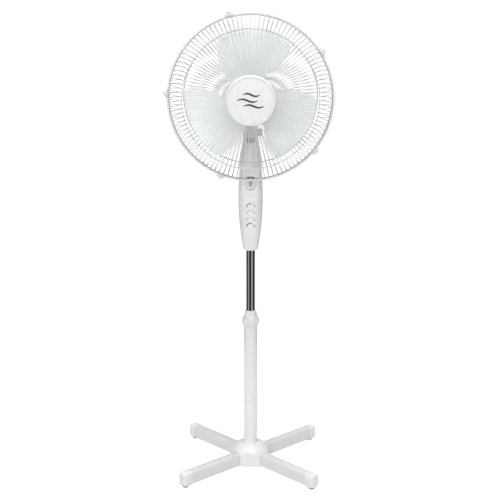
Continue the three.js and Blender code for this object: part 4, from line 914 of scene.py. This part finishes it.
front_cover = carve(column_cover("column_front_cover", -1), control_cutters(0.5))
dress(front_cover, "column_front_cover")
rear_cover = column_cover("column_rear_cover", 1)
gland_low, gland_high = box_mm("cable_gland")
gland_middle = (gland_low + gland_high) / 2
carve(rear_cover, [rod("hole", "y", (0, 0, gland_middle[2]), 6.2, 5, 60)])
dress(rear_cover, "column_rear_cover")
control_panel("control_panel")
cable_gland("cable_gland")
for button in BUTTONS:
    speed_button(button)
timer_knob("timer_knob")
dial_ring("dial_bead", DIAL_RADIUS - 5.6, DIAL_RADIUS - 0.6, 1.3)
print_and_shadow_arc("dial_face", DIAL, 8, DIAL_RADIUS - 5.2, 0, 360, DIAL_GREY, thick=0.06)
for tick, (tick_start, tick_end) in enumerate([(36, 52), (56, 73), (77, 103), (107, 124), (128, 144)]):
    print_and_shadow_arc(f"timer_mark_{tick}", DIAL, 14.2, 19.2, tick_start, tick_end, PRINT_AND_SHADOW_GREY, thick=0.16)
print_and_shadow_arc("timer_off_mark", DIAL, 16.4, 19.0, 262, 278, POINTER_AND_SHADOW_GREY)
# Dark arcs at the speed buttons' edges, over the upper left of the top and bottom ones: painted shadow round the
# buttons.
button_shadow_inner, button_shadow_outer = BUTTON_SIZE[0] + 0.3, BUTTON_SIZE[0] + 2.1
button_shadow_squeeze = (BUTTON_SIZE[2] + 0.6) / BUTTON_SIZE[0]
for number, centre in enumerate(BUTTONS.values(), 1):
    shadow_grey, arcs = POINTER_AND_SHADOW_GREY, [(155, 200), (-22, 18)]
    if number in (1, 4):
        shadow_grey, arcs = PRINT_AND_SHADOW_GREY, [(70, 195), (-8, 24)]
    for side, arc in enumerate(arcs):
        print_and_shadow_arc(f"button_shadow_{number}_{side}", centre, button_shadow_inner, button_shadow_outer, *arc, shadow_grey, squeeze=button_shadow_squeeze)

# ---------------------------------------------------------------- yoke, neck and tilt knob

TILT = joint_mm("head_tilt")
TILT_AXIS = (0, TILT[1], TILT[2])
# Height above the column's top, half width and half depth.
YOKE_SHAPE = [
    (4, 19.1, 19.7), (10, 18.8, 19), (18, 18.3, 18), (24, 17.7, 17.3), (30, 17, 16.4), (34, 16.2, 15.6),
    (38, 15, 14.5), (40.5, 14.1, 13.6),
]


def tilt_yoke(node):
    """A block that carries on the column's shape, with a slotted front, and divides into two ears."""
    low, high = box_mm(node)
    width, depth = column_size(COLUMN_HIGH)
    power = 2 / COLUMN_SQUARENESS
    stations = [(low[2], width - 0.4, depth - 0.4), (low[2] + 0.5, width - 0.05, depth - 0.05)]
    stations += [(COLUMN_HIGH + rise, half_width, half_depth) for rise, half_width, half_depth in YOKE_SHAPE]
    stations += [(high[2] - 0.4, 13, 12.5), (high[2], 12.3, 11.8)]
    sections = []
    for z, half_width, half_depth in stations:
        circle = around("z", AXIS, z, 1, 96)
        sections.append([(squarish(x, power) * half_width, squarish(y, power) * half_depth, z) for x, y, z in circle])
    body = rings(node + "_skin", sections)
    boss = rod("boss", "x", TILT_AXIS, 9, -high[0] + 0.05, high[0] - 0.05)
    carve(body, [boss], "UNION")
    slot = block("slot", (-11, -40, COLUMN_HIGH + 24), (11, 40, high[2] + 10))
    barrel = rod("barrel", "x", TILT_AXIS, 13, -11.05, 11.05, 64)
    bolt = rod("bolt", "x", TILT_AXIS, 3.3, -40, 40)
    slot_middles = (-7, 0, 7)
    cutters = [window_cutter((x, COLUMN_HIGH + 13.5), 5.4, 16, 1, -40, -9) for x in slot_middles]
    carve(body, [slot, barrel] + cutters)
    dress(carve(bevel(body, 0.5), [bolt]), node, YOKE_PAINTED_LIGHT)
    # Dark plates at the back of the slots: painted shade for the slots' depths.
    for number, x in enumerate(slot_middles, 1):
        back = block(f"yoke_slot_shade_{number}", (x - 2.6, -12, COLUMN_HIGH + 5.6), (x + 2.6, -9.1, COLUMN_HIGH + 21.4))
        dress(back, node, SLOT_SHADE_GREY, stands_for=False)


def tilt_neck(node):
    """The barrel between the ears, its stem, and the cup that the motor swings in."""
    top = box_mm(node)[1][2]
    cup_low, cup_high = TILT[2] + 18, TILT[2] + 28
    barrel = rod(node + "_skin", "x", TILT_AXIS, 12, -10.7, 10.7, 64)
    stem = block("stem", (-10.7, -9, TILT[2]), (10.7, 9, cup_low + 1))
    cup = turned("cup", "z", AXIS, [(0, cup_low), (17, cup_low, 1.5), (17, cup_high, 1.5), (0, cup_high)], 64)
    arm_reach = 22
    arm = block("arm", (0, -5.5, cup_high - 8), (arm_reach, 5.5, cup_high))
    arm_end = rod("arm_end", "z", (arm_reach, 0, 0), 6, cup_high - 8, cup_high)
    pin = rod("pin", "z", (arm_reach, 0, 0), 2.5, cup_high - 1, top)
    carve(barrel, [stem, cup, arm, arm_end, pin], "UNION")
    bolt_hole = rod("hole", "x", TILT_AXIS, 3.4, -40, 40)
    swing_hole = rod("hole", "z", AXIS, 6.4, cup_high - 18, cup_high + 2)
    carve(barrel, [bolt_hole, swing_hole])
    dress(bevel(barrel, 0.5), node)


def tilt_knob(node):
    """A ribbed hand knob on the clamping bolt."""
    low, high = box_mm(node)
    under, end = 18.4, high[0]
    ribs = 12
    stations = [
        (low[0], 2.6, 0), (low[0] + 0.4, 3, 0), (under, 3, 0), (under, 7.5, 0), (under + 0.5, 8, 0),
        (under + 1.2, 9.6, -1.6), (end - 2.2, 9.8, -1.8), (end - 1, 9.2, -1.4), (end - 0.2, 7, 0), (end, 6, 0),
        (end - 0.8, 4.6, 0), (end - 0.8, 0.4, 0),
    ]
    knob = waved(node + "_skin", "x", TILT_AXIS, stations, lambda a: (0.5 - 0.5 * math.cos(ribs * a)) ** 2, 144)
    dress(knob, node, KNOB_GREY)


tilt_yoke("tilt_yoke")
tilt_neck("tilt_neck")
tilt_knob("tilt_knob")

# ---------------------------------------------------------------- motor

HEAD = joint_mm("blade_spin")
HEAD_AXIS = (0, 0, HEAD[2])


def motor_front_bell(node):
    """A cast cup with a threaded boss in front, and the swing post under it."""
    low, high = box_mm(node)
    boss_front, rear = low[1], high[1]
    face = boss_front + 12
    radius = high[0]
    profile = [(10.3, boss_front, 0.3), (24.4, boss_front)]
    turns = 5
    pitch = (face - boss_front - 2) / turns
    for k in range(turns):
        y = boss_front + 1 + pitch * k
        profile += [(25.6, y), (24.6, y + pitch / 2)]
    profile += [(25.6, face), (46, face, 2), (radius, face + 4, 2), (radius, rear), (radius - 3, rear)]
    profile += [(radius - 3, face + 3), (10.3, face + 3)]
    bell = turned(node + "_skin", "y", HEAD_AXIS, profile, 96, closed=True)
    top = HEAD[2] - radius + 2
    post = rod("post", "z", AXIS, 6.5, TILT[2] + 28.3, top)
    pin = rod("pin", "z", AXIS, 6, low[2], top)
    carve(bell, [post, pin], "UNION")
    dress(bell, node)


def motor_cover(node):
    """A drum with a full round back, vents in the back, and a raised bead round its mouth."""
    low, high = box_mm(node)
    radius, front, back = high[0], low[1], high[1]
    wall = 2.5
    round_back = 34
    start = back - round_back

    def outline(inset):
        points = []
        for k in range(19):
            t = math.pi / 2 * k / 18
            reach = (radius - 3) * max(math.cos(t), 0) ** 0.7 - inset
            if reach > 0.5:
                points.append((reach, start + round_back * math.sin(t) - inset))
        return points + [(0, back - inset)]

    lip = [(0, front), (radius - 0.8, front), (radius, front + 0.8), (radius, front + 6), (radius - 0.8, front + 6.8)]
    cover = turned(node + "_skin", "y", HEAD_AXIS, lip + outline(0), 128)
    mouth = [(0, front - 5), (radius - wall, front - 5), (radius - wall, front + 6.8)]
    carve(cover, [turned("hollow", "y", HEAD_AXIS, mouth + outline(wall), 128)])
    vents, vent_pitch, vents_radius = 9, 6.4, 36
    cutters = []
    for k in range(vents):
        x = (k - vents // 2) * vent_pitch
        height = 2 * math.sqrt(vents_radius**2 - x**2)
        cutters.append(window_cutter((x, HEAD[2]), 3.2, height, 1.5, start + 12, back + 10))
    crank = joint_mm("crank_turn")
    knob = sum(box_mm("swing_knob")) / 2
    for y, hole, direction in ((0, 8.5, -1), (crank[1], 7, -1), (knob[1], 4, 1)):
        near, far = sorted((HEAD[2] + 20 * direction, HEAD[2] + 80 * direction))
        cutters.append(rod("hole", "z", (0, y, 0), hole, near, far))
    carve(cover, cutters)
    dress(cover, node)


def swing_knob(node):
    low, high = box_mm(node)
    centre = (0, (low[1] + high[1]) / 2, 0)
    under = high[2] - 15
    profile = [
        (0, low[2]), (3.5, low[2], 0.4), (3.5, under), (5.6, under, 0.6), (5.4, under + 7, 2),
        (7.4, high[2] - 2.6, 1.2), (6.2, high[2], 1.2), (3, high[2] - 0.6, 1), (0, high[2] - 0.6),
    ]
    dress(turned(node + "_skin", "z", centre, profile, 64), node)


def swing_crank(node):
    low, high = box_mm(node)
    pivot = joint_mm("crank_turn")
    pin = joint_mm("link_turn")
    bottom, top = pivot[2] - 2, pivot[2] + 2
    disc = turned(node + "_skin", "z", (0, pivot[1], 0), [
        (0, bottom), (17, bottom, 0.6), (17, top, 0.6), (5, top), (5, high[2], 0.4), (0, high[2])], 64)
    stud = rod("stud", "z", (pin[0], pin[1], 0), 2.5, low[2], bottom + 1)
    dress(carve(disc, [stud], "UNION"), node)


def swing_link(node):
    """A flat pressed link with a small eye on the crank's pin and a large one round the neck's pin."""
    bottom, top = (corner[2] for corner in box_mm(node))
    start = joint_mm("link_turn")
    end = (25.9, 0)
    length = math.hypot(end[0] - start[0], end[1] - start[1])
    far = (length, 0, 0)
    bar = block(node + "_skin", (0, -3, bottom + 0.1), (length, 3, top - 0.1))
    eyes = [rod("eye", "z", far, 10.4, bottom, top, 64), rod("eye", "z", AXIS, 6, bottom + 0.05, top - 0.05)]
    carve(bar, eyes, "UNION")
    holes = [rod("hole", "z", far, 7.5, bottom - 1, top + 1, 64), rod("hole", "z", AXIS, 2.9, bottom - 1, top + 1)]
    carve(bevel(bar, 0.4), holes)
    angle = math.atan2(end[1] - start[1], end[0] - start[0])
    place = Matrix.Translation((start[0] * MM, start[1] * MM, 0)) @ Matrix.Rotation(angle, 4, "Z")
    bar.data.transform(place)
    dress(bar, node)


motor_front_bell("motor_front_bell")
motor_cover("motor_cover")
swing_knob("swing_knob")
swing_crank("swing_crank")
swing_link("swing_link")

# ---------------------------------------------------------------- guards

WIRES = 108
RIM_Y = (box_mm("front_guard")[1][1] + box_mm("rear_guard")[0][1]) / 2
RIM_CENTRE = (0, RIM_Y, HEAD[2])
RIM = box_mm("front_guard")[1][0]
BRACE = RIM - 42
WIRE_RADIUS = 1.1
FIRST_CLIP = 32.7


def guard_curve(depths, radii):
    """A smooth line through (radius, depth) stations, from the middle plate to the rim."""
    stations = np.stack([radii, depths], 1).astype(float)
    points = []
    tangents = np.gradient(stations, axis=0)
    tangents /= np.linalg.norm(tangents, axis=1)[:, None]
    for p, q, leave, arrive in zip(stations[:-1], stations[1:], tangents[:-1], tangents[1:]):
        length = np.linalg.norm(q - p)
        for t in np.linspace(0, 1, 7)[:-1]:
            points.append(
                (2 * t**3 - 3 * t**2 + 1) * p + (t**3 - 2 * t**2 + t) * leave * length
                + (3 * t**2 - 2 * t**3) * q + (t**3 - t**2) * arrive * length)
    return points + [stations[-1]]


def radial(angle, radius, y):
    return placed("y", radius, y, angle, RIM_CENTRE)


def hoop(radius, y, wire, count):
    return sweep([around("y", RIM_CENTRE, y, radius, count)], wire, 10, closed=True)


def guard(node, side, plate, brace, bend, plate_radii, wire_finish, rim_finish):
    """Round wires from the middle plate to the rim, a brace ring inside them, and the rim."""
    plate_in, plate_out = plate_radii
    rim_y = 1.6 * side
    line = guard_curve(
        [plate, plate, brace, bend, 12 * side, rim_y],
        [plate_out - 4, plate_out, BRACE, RIM - 15, RIM - 8.2, RIM - 6.6])
    paths = [[radial(2 * math.pi * k / WIRES, r, y) for r, y in line] for k in range(WIRES)]
    # The brace lies inside the wires, on the blades' side.
    parts = [sweep(paths, WIRE_RADIUS, 7), hoop(BRACE, brace - side * 2.4, 1.5, 216)]
    dress(joined(node + "_wires", parts), node, wire_finish)
    # A dark hoop just inside the rim: painted shade, standing for the dark line where the rims shade each other.
    shade_line = piece(node + "_seam", *hoop(RIM - 6.8, rim_y, 1.3, 288))
    dress(shade_line, node, RIM_SHADE_LINE_GREY, stands_for=False)
    band = turned(node + "_rim", "y", RIM_CENTRE, [
        (RIM - 6, 0.15 * side, 0.1), (RIM - 0.2, 0.15 * side, 0.1), (RIM - 0.2, 2.9 * side, 1.3),
        (RIM - 6, 2.9 * side, 1.3)], 288, closed=True)
    dress(band, node, rim_finish, stands_for=False)
    plate_disc = turned(node + "_plate", "y", RIM_CENTRE, [
        (plate_in, plate - 0.9, 0.4), (plate_out + 0.5, plate - 0.9, 0.4),
        (plate_out + 0.5, plate + 0.9, 0.4), (plate_in, plate + 0.9, 0.4)], 128, closed=True)
    dress(plate_disc, node, stands_for=False)


# The rear guard takes the darker wire and rim greys: painted shade.
guard("rear_guard", 1, 85, 47, 26, (26.7, 50), REAR_WIRE_PAINTED_SHADE, REAR_RIM_PAINTED_SHADE)
guard("front_guard", -1, -71, -61, -38, (40, 58), MATERIAL["grille_paint"], RIM_WHITE)


def guard_clip(node, number):
    """A moulded clip over both rims: a spine, a hook in front, and a narrow lip to lift it by."""
    angle = math.radians(FIRST_CLIP + 72 * number)
    inner = RIM + 0.3
    along = (-math.sin(angle), math.cos(angle))

    def bar(name, outline, half):
        """A bar along the rim, with its ends rounded by smaller sections."""
        middle = sum(r for r, _ in outline) / len(outline)
        ends = [(half, 0.8), (half - 0.5, 0.95), (half - 1.2, 1)]
        sections = []
        for step, scale in [(-step, scale) for step, scale in ends] + ends[::-1]:
            ring = []
            for r, y in outline:
                x, py, z = radial(angle, middle + (r - middle) * scale, y * scale)
                ring.append((x + along[0] * step, py, z + along[1] * step))
            sections.append(ring)
        return taken(rings(name, sections))

    spine = filleted([
        (inner, 7, 1), (inner, -3.3, 0.4), (RIM - 3.1, -3.3, 0.4), (RIM - 3.1, -6.7, 1.4), (inner + 3, -6.7, 1.6),
        (inner + 3, 7, 1.2)], 4)
    lip = filleted([
        (inner + 0.4, -4), (inner + 0.4, -6.6, 0.6), (inner + 4.6, -6.8, 1), (inner + 7.9, -8.7, 0.9),
        (inner + 7.4, -7, 0.4), (inner + 2.6, -2.2, 1)], 4)
    parts = [bar(node + "_spine", spine, 10.9), bar(node + "_lip", lip, 5.5)]
    dress(joined(node + "_skin", parts), node, CLIP_WHITE)


for number in range(5):
    guard_clip(f"guard_clip_{number + 1}", number)


def guard_nut(node):
    """A threaded ring with four lobes to turn it by."""
    low, high = box_mm(node)
    bore, thread = 26.1, high[1]
    stations = [
        (thread, bore, 0), (thread, 41.5, 2.6), (thread - 0.8, 42, 3), (low[1] + 4, 40, 3.6), (low[1] + 1, 34, 8),
        (low[1], 33, 8), (low[1], bore, 0),
    ]
    nut = waved(
        node + "_skin", "y", HEAD_AXIS, stations, lambda a: max(0.0, math.cos(2 * a) ** 2 - 0.86) / 0.14, 192,
        capped=False)
    dress(nut, node)


guard_nut("guard_nut")

# ---------------------------------------------------------------- badge

BADGE_LOW, BADGE_HIGH = box_mm("front_badge")
FACE_RADIUS = 57.2
FACE_SUNK = 1.15
FACE_CROWN = 0.55


def front_badge(node):
    """A round badge: a rounded border round a shallow, slightly crowned face."""
    radius = BADGE_HIGH[0]
    back, front = BADGE_HIGH[1], BADGE_LOW[1]
    face = [(55.8 * math.sqrt(t), front + FACE_SUNK - FACE_CROWN * (1 - t)) for t in np.linspace(1, 0, 12)]
    profile = [(0, back), (radius - 1, back), (radius, back - 1.4, 0.8), (radius, front + 4.4, 3.2)]
    profile += [(radius - 3.4, front, 2.0), (58.8, front, 0.5), (58.4, front + 2.8, 0.2)]
    profile += [(56.6, front + 2.8, 0.2)] + face
    dress(turned(node + "_skin", "y", HEAD_AXIS, profile, 160), node, BADGE_WHITE)


def face_y(x, z):
    """The Y of the badge's face."""
    share = min((x * x + (z - HEAD[2]) ** 2) / FACE_RADIUS**2, 1)
    return BADGE_LOW[1] + FACE_SUNK - FACE_CROWN * (1 - share)


def breeze_line(name, height, start, end, wave):
    """One line of the sign for moving air: a flowing stroke, as a thin raised mark."""
    steps = 40
    middle = []
    for t in np.arange(steps + 1) / steps:
        middle.append(np.array([start + (end - start) * t, HEAD[2] + height + wave * math.sin(2 * math.pi * t)]))
    rows = []
    for k in range(steps + 1):
        half = 0.4 + 2.0 * math.sin(math.pi * min(max(k / steps, 0.02), 0.98)) ** 0.6
        slope = middle[min(k + 1, steps)] - middle[max(k - 1, 0)]
        across = np.array([-slope[1], slope[0]]) / np.linalg.norm(slope)
        rows.append([middle[k] + across * half * (2 * j / 3 - 1) for j in range(4)])
    mark(name, rows, face_y, 0.15, 0.1, "front_badge", PRINT_AND_SHADOW_GREY)


front_badge("front_badge")
for number, (height, start, end) in enumerate([(15, -20, 23), (1, -34, 18), (-13, -18, 33)], 1):
    breeze_line(f"breeze_line_{number}", height, start, end, 3.4)

# ---------------------------------------------------------------- blades, spinner and shaft

BLADE_BOX = box_mm("fan_blade")
HUB_FRONT = BLADE_BOX[0][1]
HUB_RADIUS = 38
BLADE_TIP = RIM - 47.6
BLADE_FIRST = 84.5
BLADE_MIDDLE = RIM_Y - 7
# Share of the way from hub to tip, and the angles of the leading and trailing edges.
BLADE_STATIONS = np.array([
    [0, -26, 58], [0.25, -28, 56], [0.44, -32.5, 52.5], [0.63, -36.5, 47], [0.8, -36.5, 41.5],
    [0.91, -35.5, 40], [0.97, -33, 37], [1, -29, 33],
])
BLADE_ROWS = 44
BLADE_COLUMNS = 40


def smoothed(stations):
    """The blade's edges, with their straight stretches rounded into curves."""
    shares = np.linspace(0, 1, 61)
    kernel = np.array([1, 4, 6, 4, 1]) / 16
    edges = []
    for k in (1, 2):
        edge = np.interp(shares, stations[:, 0], stations[:, k])
        for _ in range(4):
            edge[2:-2] = np.convolve(edge, kernel, "valid")
        edges.append(edge)
    return shares, *edges


BLADE_EDGES = smoothed(BLADE_STATIONS)


def blade_grid(centre_angle, offset):
    """One side of a blade: a twisted, arched surface that thins to its edges."""
    grid = []
    shares, leads, trails = BLADE_EDGES
    for share in 1 - (1 - np.linspace(0, 1, BLADE_ROWS + 1)) ** 1.6:
        lead, trail = np.interp(share, shares, leads), np.interp(share, shares, trails)
        radius = HUB_RADIUS - 2 + (BLADE_TIP - HUB_RADIUS + 2) * share
        rise = 36 - 4 * share
        row = []
        for j in range(BLADE_COLUMNS + 1):
            t = 0.5 - 0.5 * math.cos(math.pi * j / BLADE_COLUMNS)
            angle = math.radians(centre_angle + lead + (trail - lead) * t)
            thin = min(1.0, math.sin(math.pi * t) * 9 + 0.15) * min(1.0, (1 - share) * 18 + 0.15)
            arc = 7 * (4 * t * (1 - t) - 0.5)
            row.append(placed("y", radius, BLADE_MIDDLE + rise * (0.5 - t) + arc + offset * thin, angle, HEAD_AXIS))
        grid.append(row)
    return grid


def fan_blade(node):
    """Three blades and their hub, one clear moulding."""
    rear = HUB_FRONT + 38
    hub = turned(node + "_hub", "y", HEAD_AXIS, [
        (4.4, HUB_FRONT, 0.3), (HUB_RADIUS, HUB_FRONT, 4), (HUB_RADIUS, rear, 0.8), (HUB_RADIUS - 3, rear, 0.8),
        (HUB_RADIUS - 3, HUB_FRONT + 3, 2), (9, HUB_FRONT + 3, 1), (9, rear - 4, 0.5), (4.4, rear - 4, 0.3)],
        128, closed=True)
    dress(hub, node)
    for k in range(3):
        angle = BLADE_FIRST + 120 * k
        front, back = blade_grid(angle, -1.1), blade_grid(angle, 1.1)
        dress(shell(f"fan_blade_{k + 1}", front, back, sharp=50), node, stands_for=False)


def spinner_nut(node):
    """A small cone with three wings, screwed on the shaft."""
    low, high = box_mm(node)
    stations = [
        (high[1], 12, 0), (high[1] - 1, 12.4, 1), (high[1] - 8, 11.4, 1.8), (low[1] + 3, 8.6, 1.4),
        (low[1] + 0.8, 5.6, 0), (low[1], 3.6, 0),
    ]
    nut = waved(node + "_skin", "y", HEAD_AXIS, stations, lambda a: max(0.0, math.cos(3 * a)) ** 3, 96)
    dress(nut, node)


def motor_shaft(node):
    low, high = box_mm(node)
    profile = [(0, low[1]), (3.95, low[1], 0.6), (3.95, high[1], 0.6), (0, high[1])]
    dress(turned(node + "_skin", "y", HEAD_AXIS, profile, 48), node)


fan_blade("fan_blade")
spinner_nut("spinner_nut")
motor_shaft("motor_shaft")

# ---------------------------------------------------------------- pieces kept from the CAD

for node_name, node_object in frame["nodes"].items():
    if not node_object.hide_render:
        node_object.data.materials.clear()
        node_object.data.materials.append(MATERIAL[NODE_SLOT[node_name]])

# ---------------------------------------------------------------- floor, light and camera

CAMERA_SIDE = -0.0016
CAMERA_BACK = 2.948
CAMERA_HEIGHT = 1.302
CAMERA_PITCH = 13.1
CAMERA_LENS = 80.35
STAGE = 20000
CARD_REACH = 1250
CARD_HEIGHT = 2400
# Bearings that each card runs between, clockwise from the front, and its grey.
CARDS = {
    "front": (-34, 14, 0.0), "left": (-74, -34, 0.3), "right": (14, 57, 0.36),
    "back_0": (57, 150, 0.02), "back_1": (150, 172, 0.45), "back_2": (172, 196, 0.02),
    "back_3": (196, 212, 0.3), "back_4": (212, 286, 0.02),
}


def white_stage(name, low, high, seen_in_gloss=True):
    """A white sheet that only the camera, reflections and clear plastic see."""
    sheet = block(name, low, high)
    nodes = Nodes(name + "_white")
    nodes.vary_colour(nodes.noise(0.6, 1.0), (0.5, 0.5, 0.5), (0.51, 0.51, 0.51))
    nodes.set(Roughness=0.9, Emission_Color=(1, 1, 1, 1), Emission_Strength=0.85)
    sheet.data.materials.append(nodes.material)
    sheet.visible_diffuse = False
    sheet.visible_shadow = False
    sheet.visible_glossy = seen_in_gloss


def card(name, start, end, shade_of_grey):
    """A curved card round the object, from one bearing to another. Only reflections see it."""
    steps = max(2, int((end - start) / 6))
    angles = [math.radians(start + (end - start) * k / steps) for k in range(steps + 1)]
    inner, outer = (
        [[(reach * math.sin(a), -reach * math.cos(a), z) for a in angles] for z in (2, CARD_HEIGHT)]
        for reach in (CARD_REACH, CARD_REACH + 10))
    made = shell(name, inner, outer)
    nodes = Nodes(name + "_felt")
    nodes.vary_colour(nodes.noise(3.0), (0.01, 0.01, 0.01), (0.014, 0.014, 0.014))
    nodes.set(Roughness=1.0, Specular_IOR_Level=0.0)
    nodes.set(Emission_Color=(1, 1, 1, 1), Emission_Strength=shade_of_grey)
    made.data.materials.append(nodes.material)
    made.visible_camera = False
    made.visible_diffuse = False
    made.visible_glossy = True
    made.visible_transmission = False
    made.visible_shadow = False


def area_light(name, place, target, size, power):
    light = bpy.data.lights.new(name, "AREA")
    light.shape = "RECTANGLE"
    light.size, light.size_y = size
    light.energy = power
    obj = bpy.data.objects.new(name, light)
    obj.location = place
    obj.visible_camera = False
    obj.rotation_mode = "QUATERNION"
    obj.rotation_quaternion = (Vector(target) - Vector(place)).to_track_quat("-Z", "Y")
    SCENE.collection.objects.link(obj)


def studio_world(strength):
    world = bpy.data.worlds.new("studio")
    world.use_nodes = True
    background = world.node_tree.nodes["Background"]
    background.inputs["Color"].default_value = (1, 1, 1, 1)
    background.inputs["Strength"].default_value = strength
    SCENE.world = world


def camera():
    data = bpy.data.cameras.new("camera")
    data.lens = CAMERA_LENS
    data.sensor_width = 36
    data.clip_start = 0.1
    obj = bpy.data.objects.new("camera", data)
    obj.location = (CAMERA_SIDE, -CAMERA_BACK, CAMERA_HEIGHT)
    obj.rotation_euler = (math.radians(90 - CAMERA_PITCH), 0, 0)
    SCENE.collection.objects.link(obj)
    SCENE.camera = obj


white_stage("floor", (-STAGE, -STAGE, -20), (STAGE, STAGE, 0))
white_stage("backdrop", (-STAGE, STAGE - 1000, -20), (STAGE, STAGE - 980, STAGE))
white_stage("backdrop_left", (-STAGE + 980, -STAGE, -20), (-STAGE + 1000, STAGE, STAGE), False)
white_stage("backdrop_right", (STAGE - 1000, -STAGE, -20), (STAGE - 980, STAGE, STAGE), False)
white_stage("backdrop_front", (-STAGE, -STAGE + 980, -20), (STAGE, -STAGE + 1000, STAGE), False)
for card_name, card_values in CARDS.items():
    card(f"chrome_card_{card_name}", *card_values)
studio_world(0.56)
area_light("front", (-0.6, -5.0, 2.2), (0, 0, 0.65), (1.8, 1.8), 108)
area_light("overhead", (0, -1.0, 7.0), (0, 0, 0), (3, 3), 240)
area_light("rear", (0.8, 5.0, 2.6), (0, 0, 0.65), (1.8, 1.8), 22)
camera()
SCENE.view_settings.view_transform = "Standard"
SCENE.view_settings.look = "None"
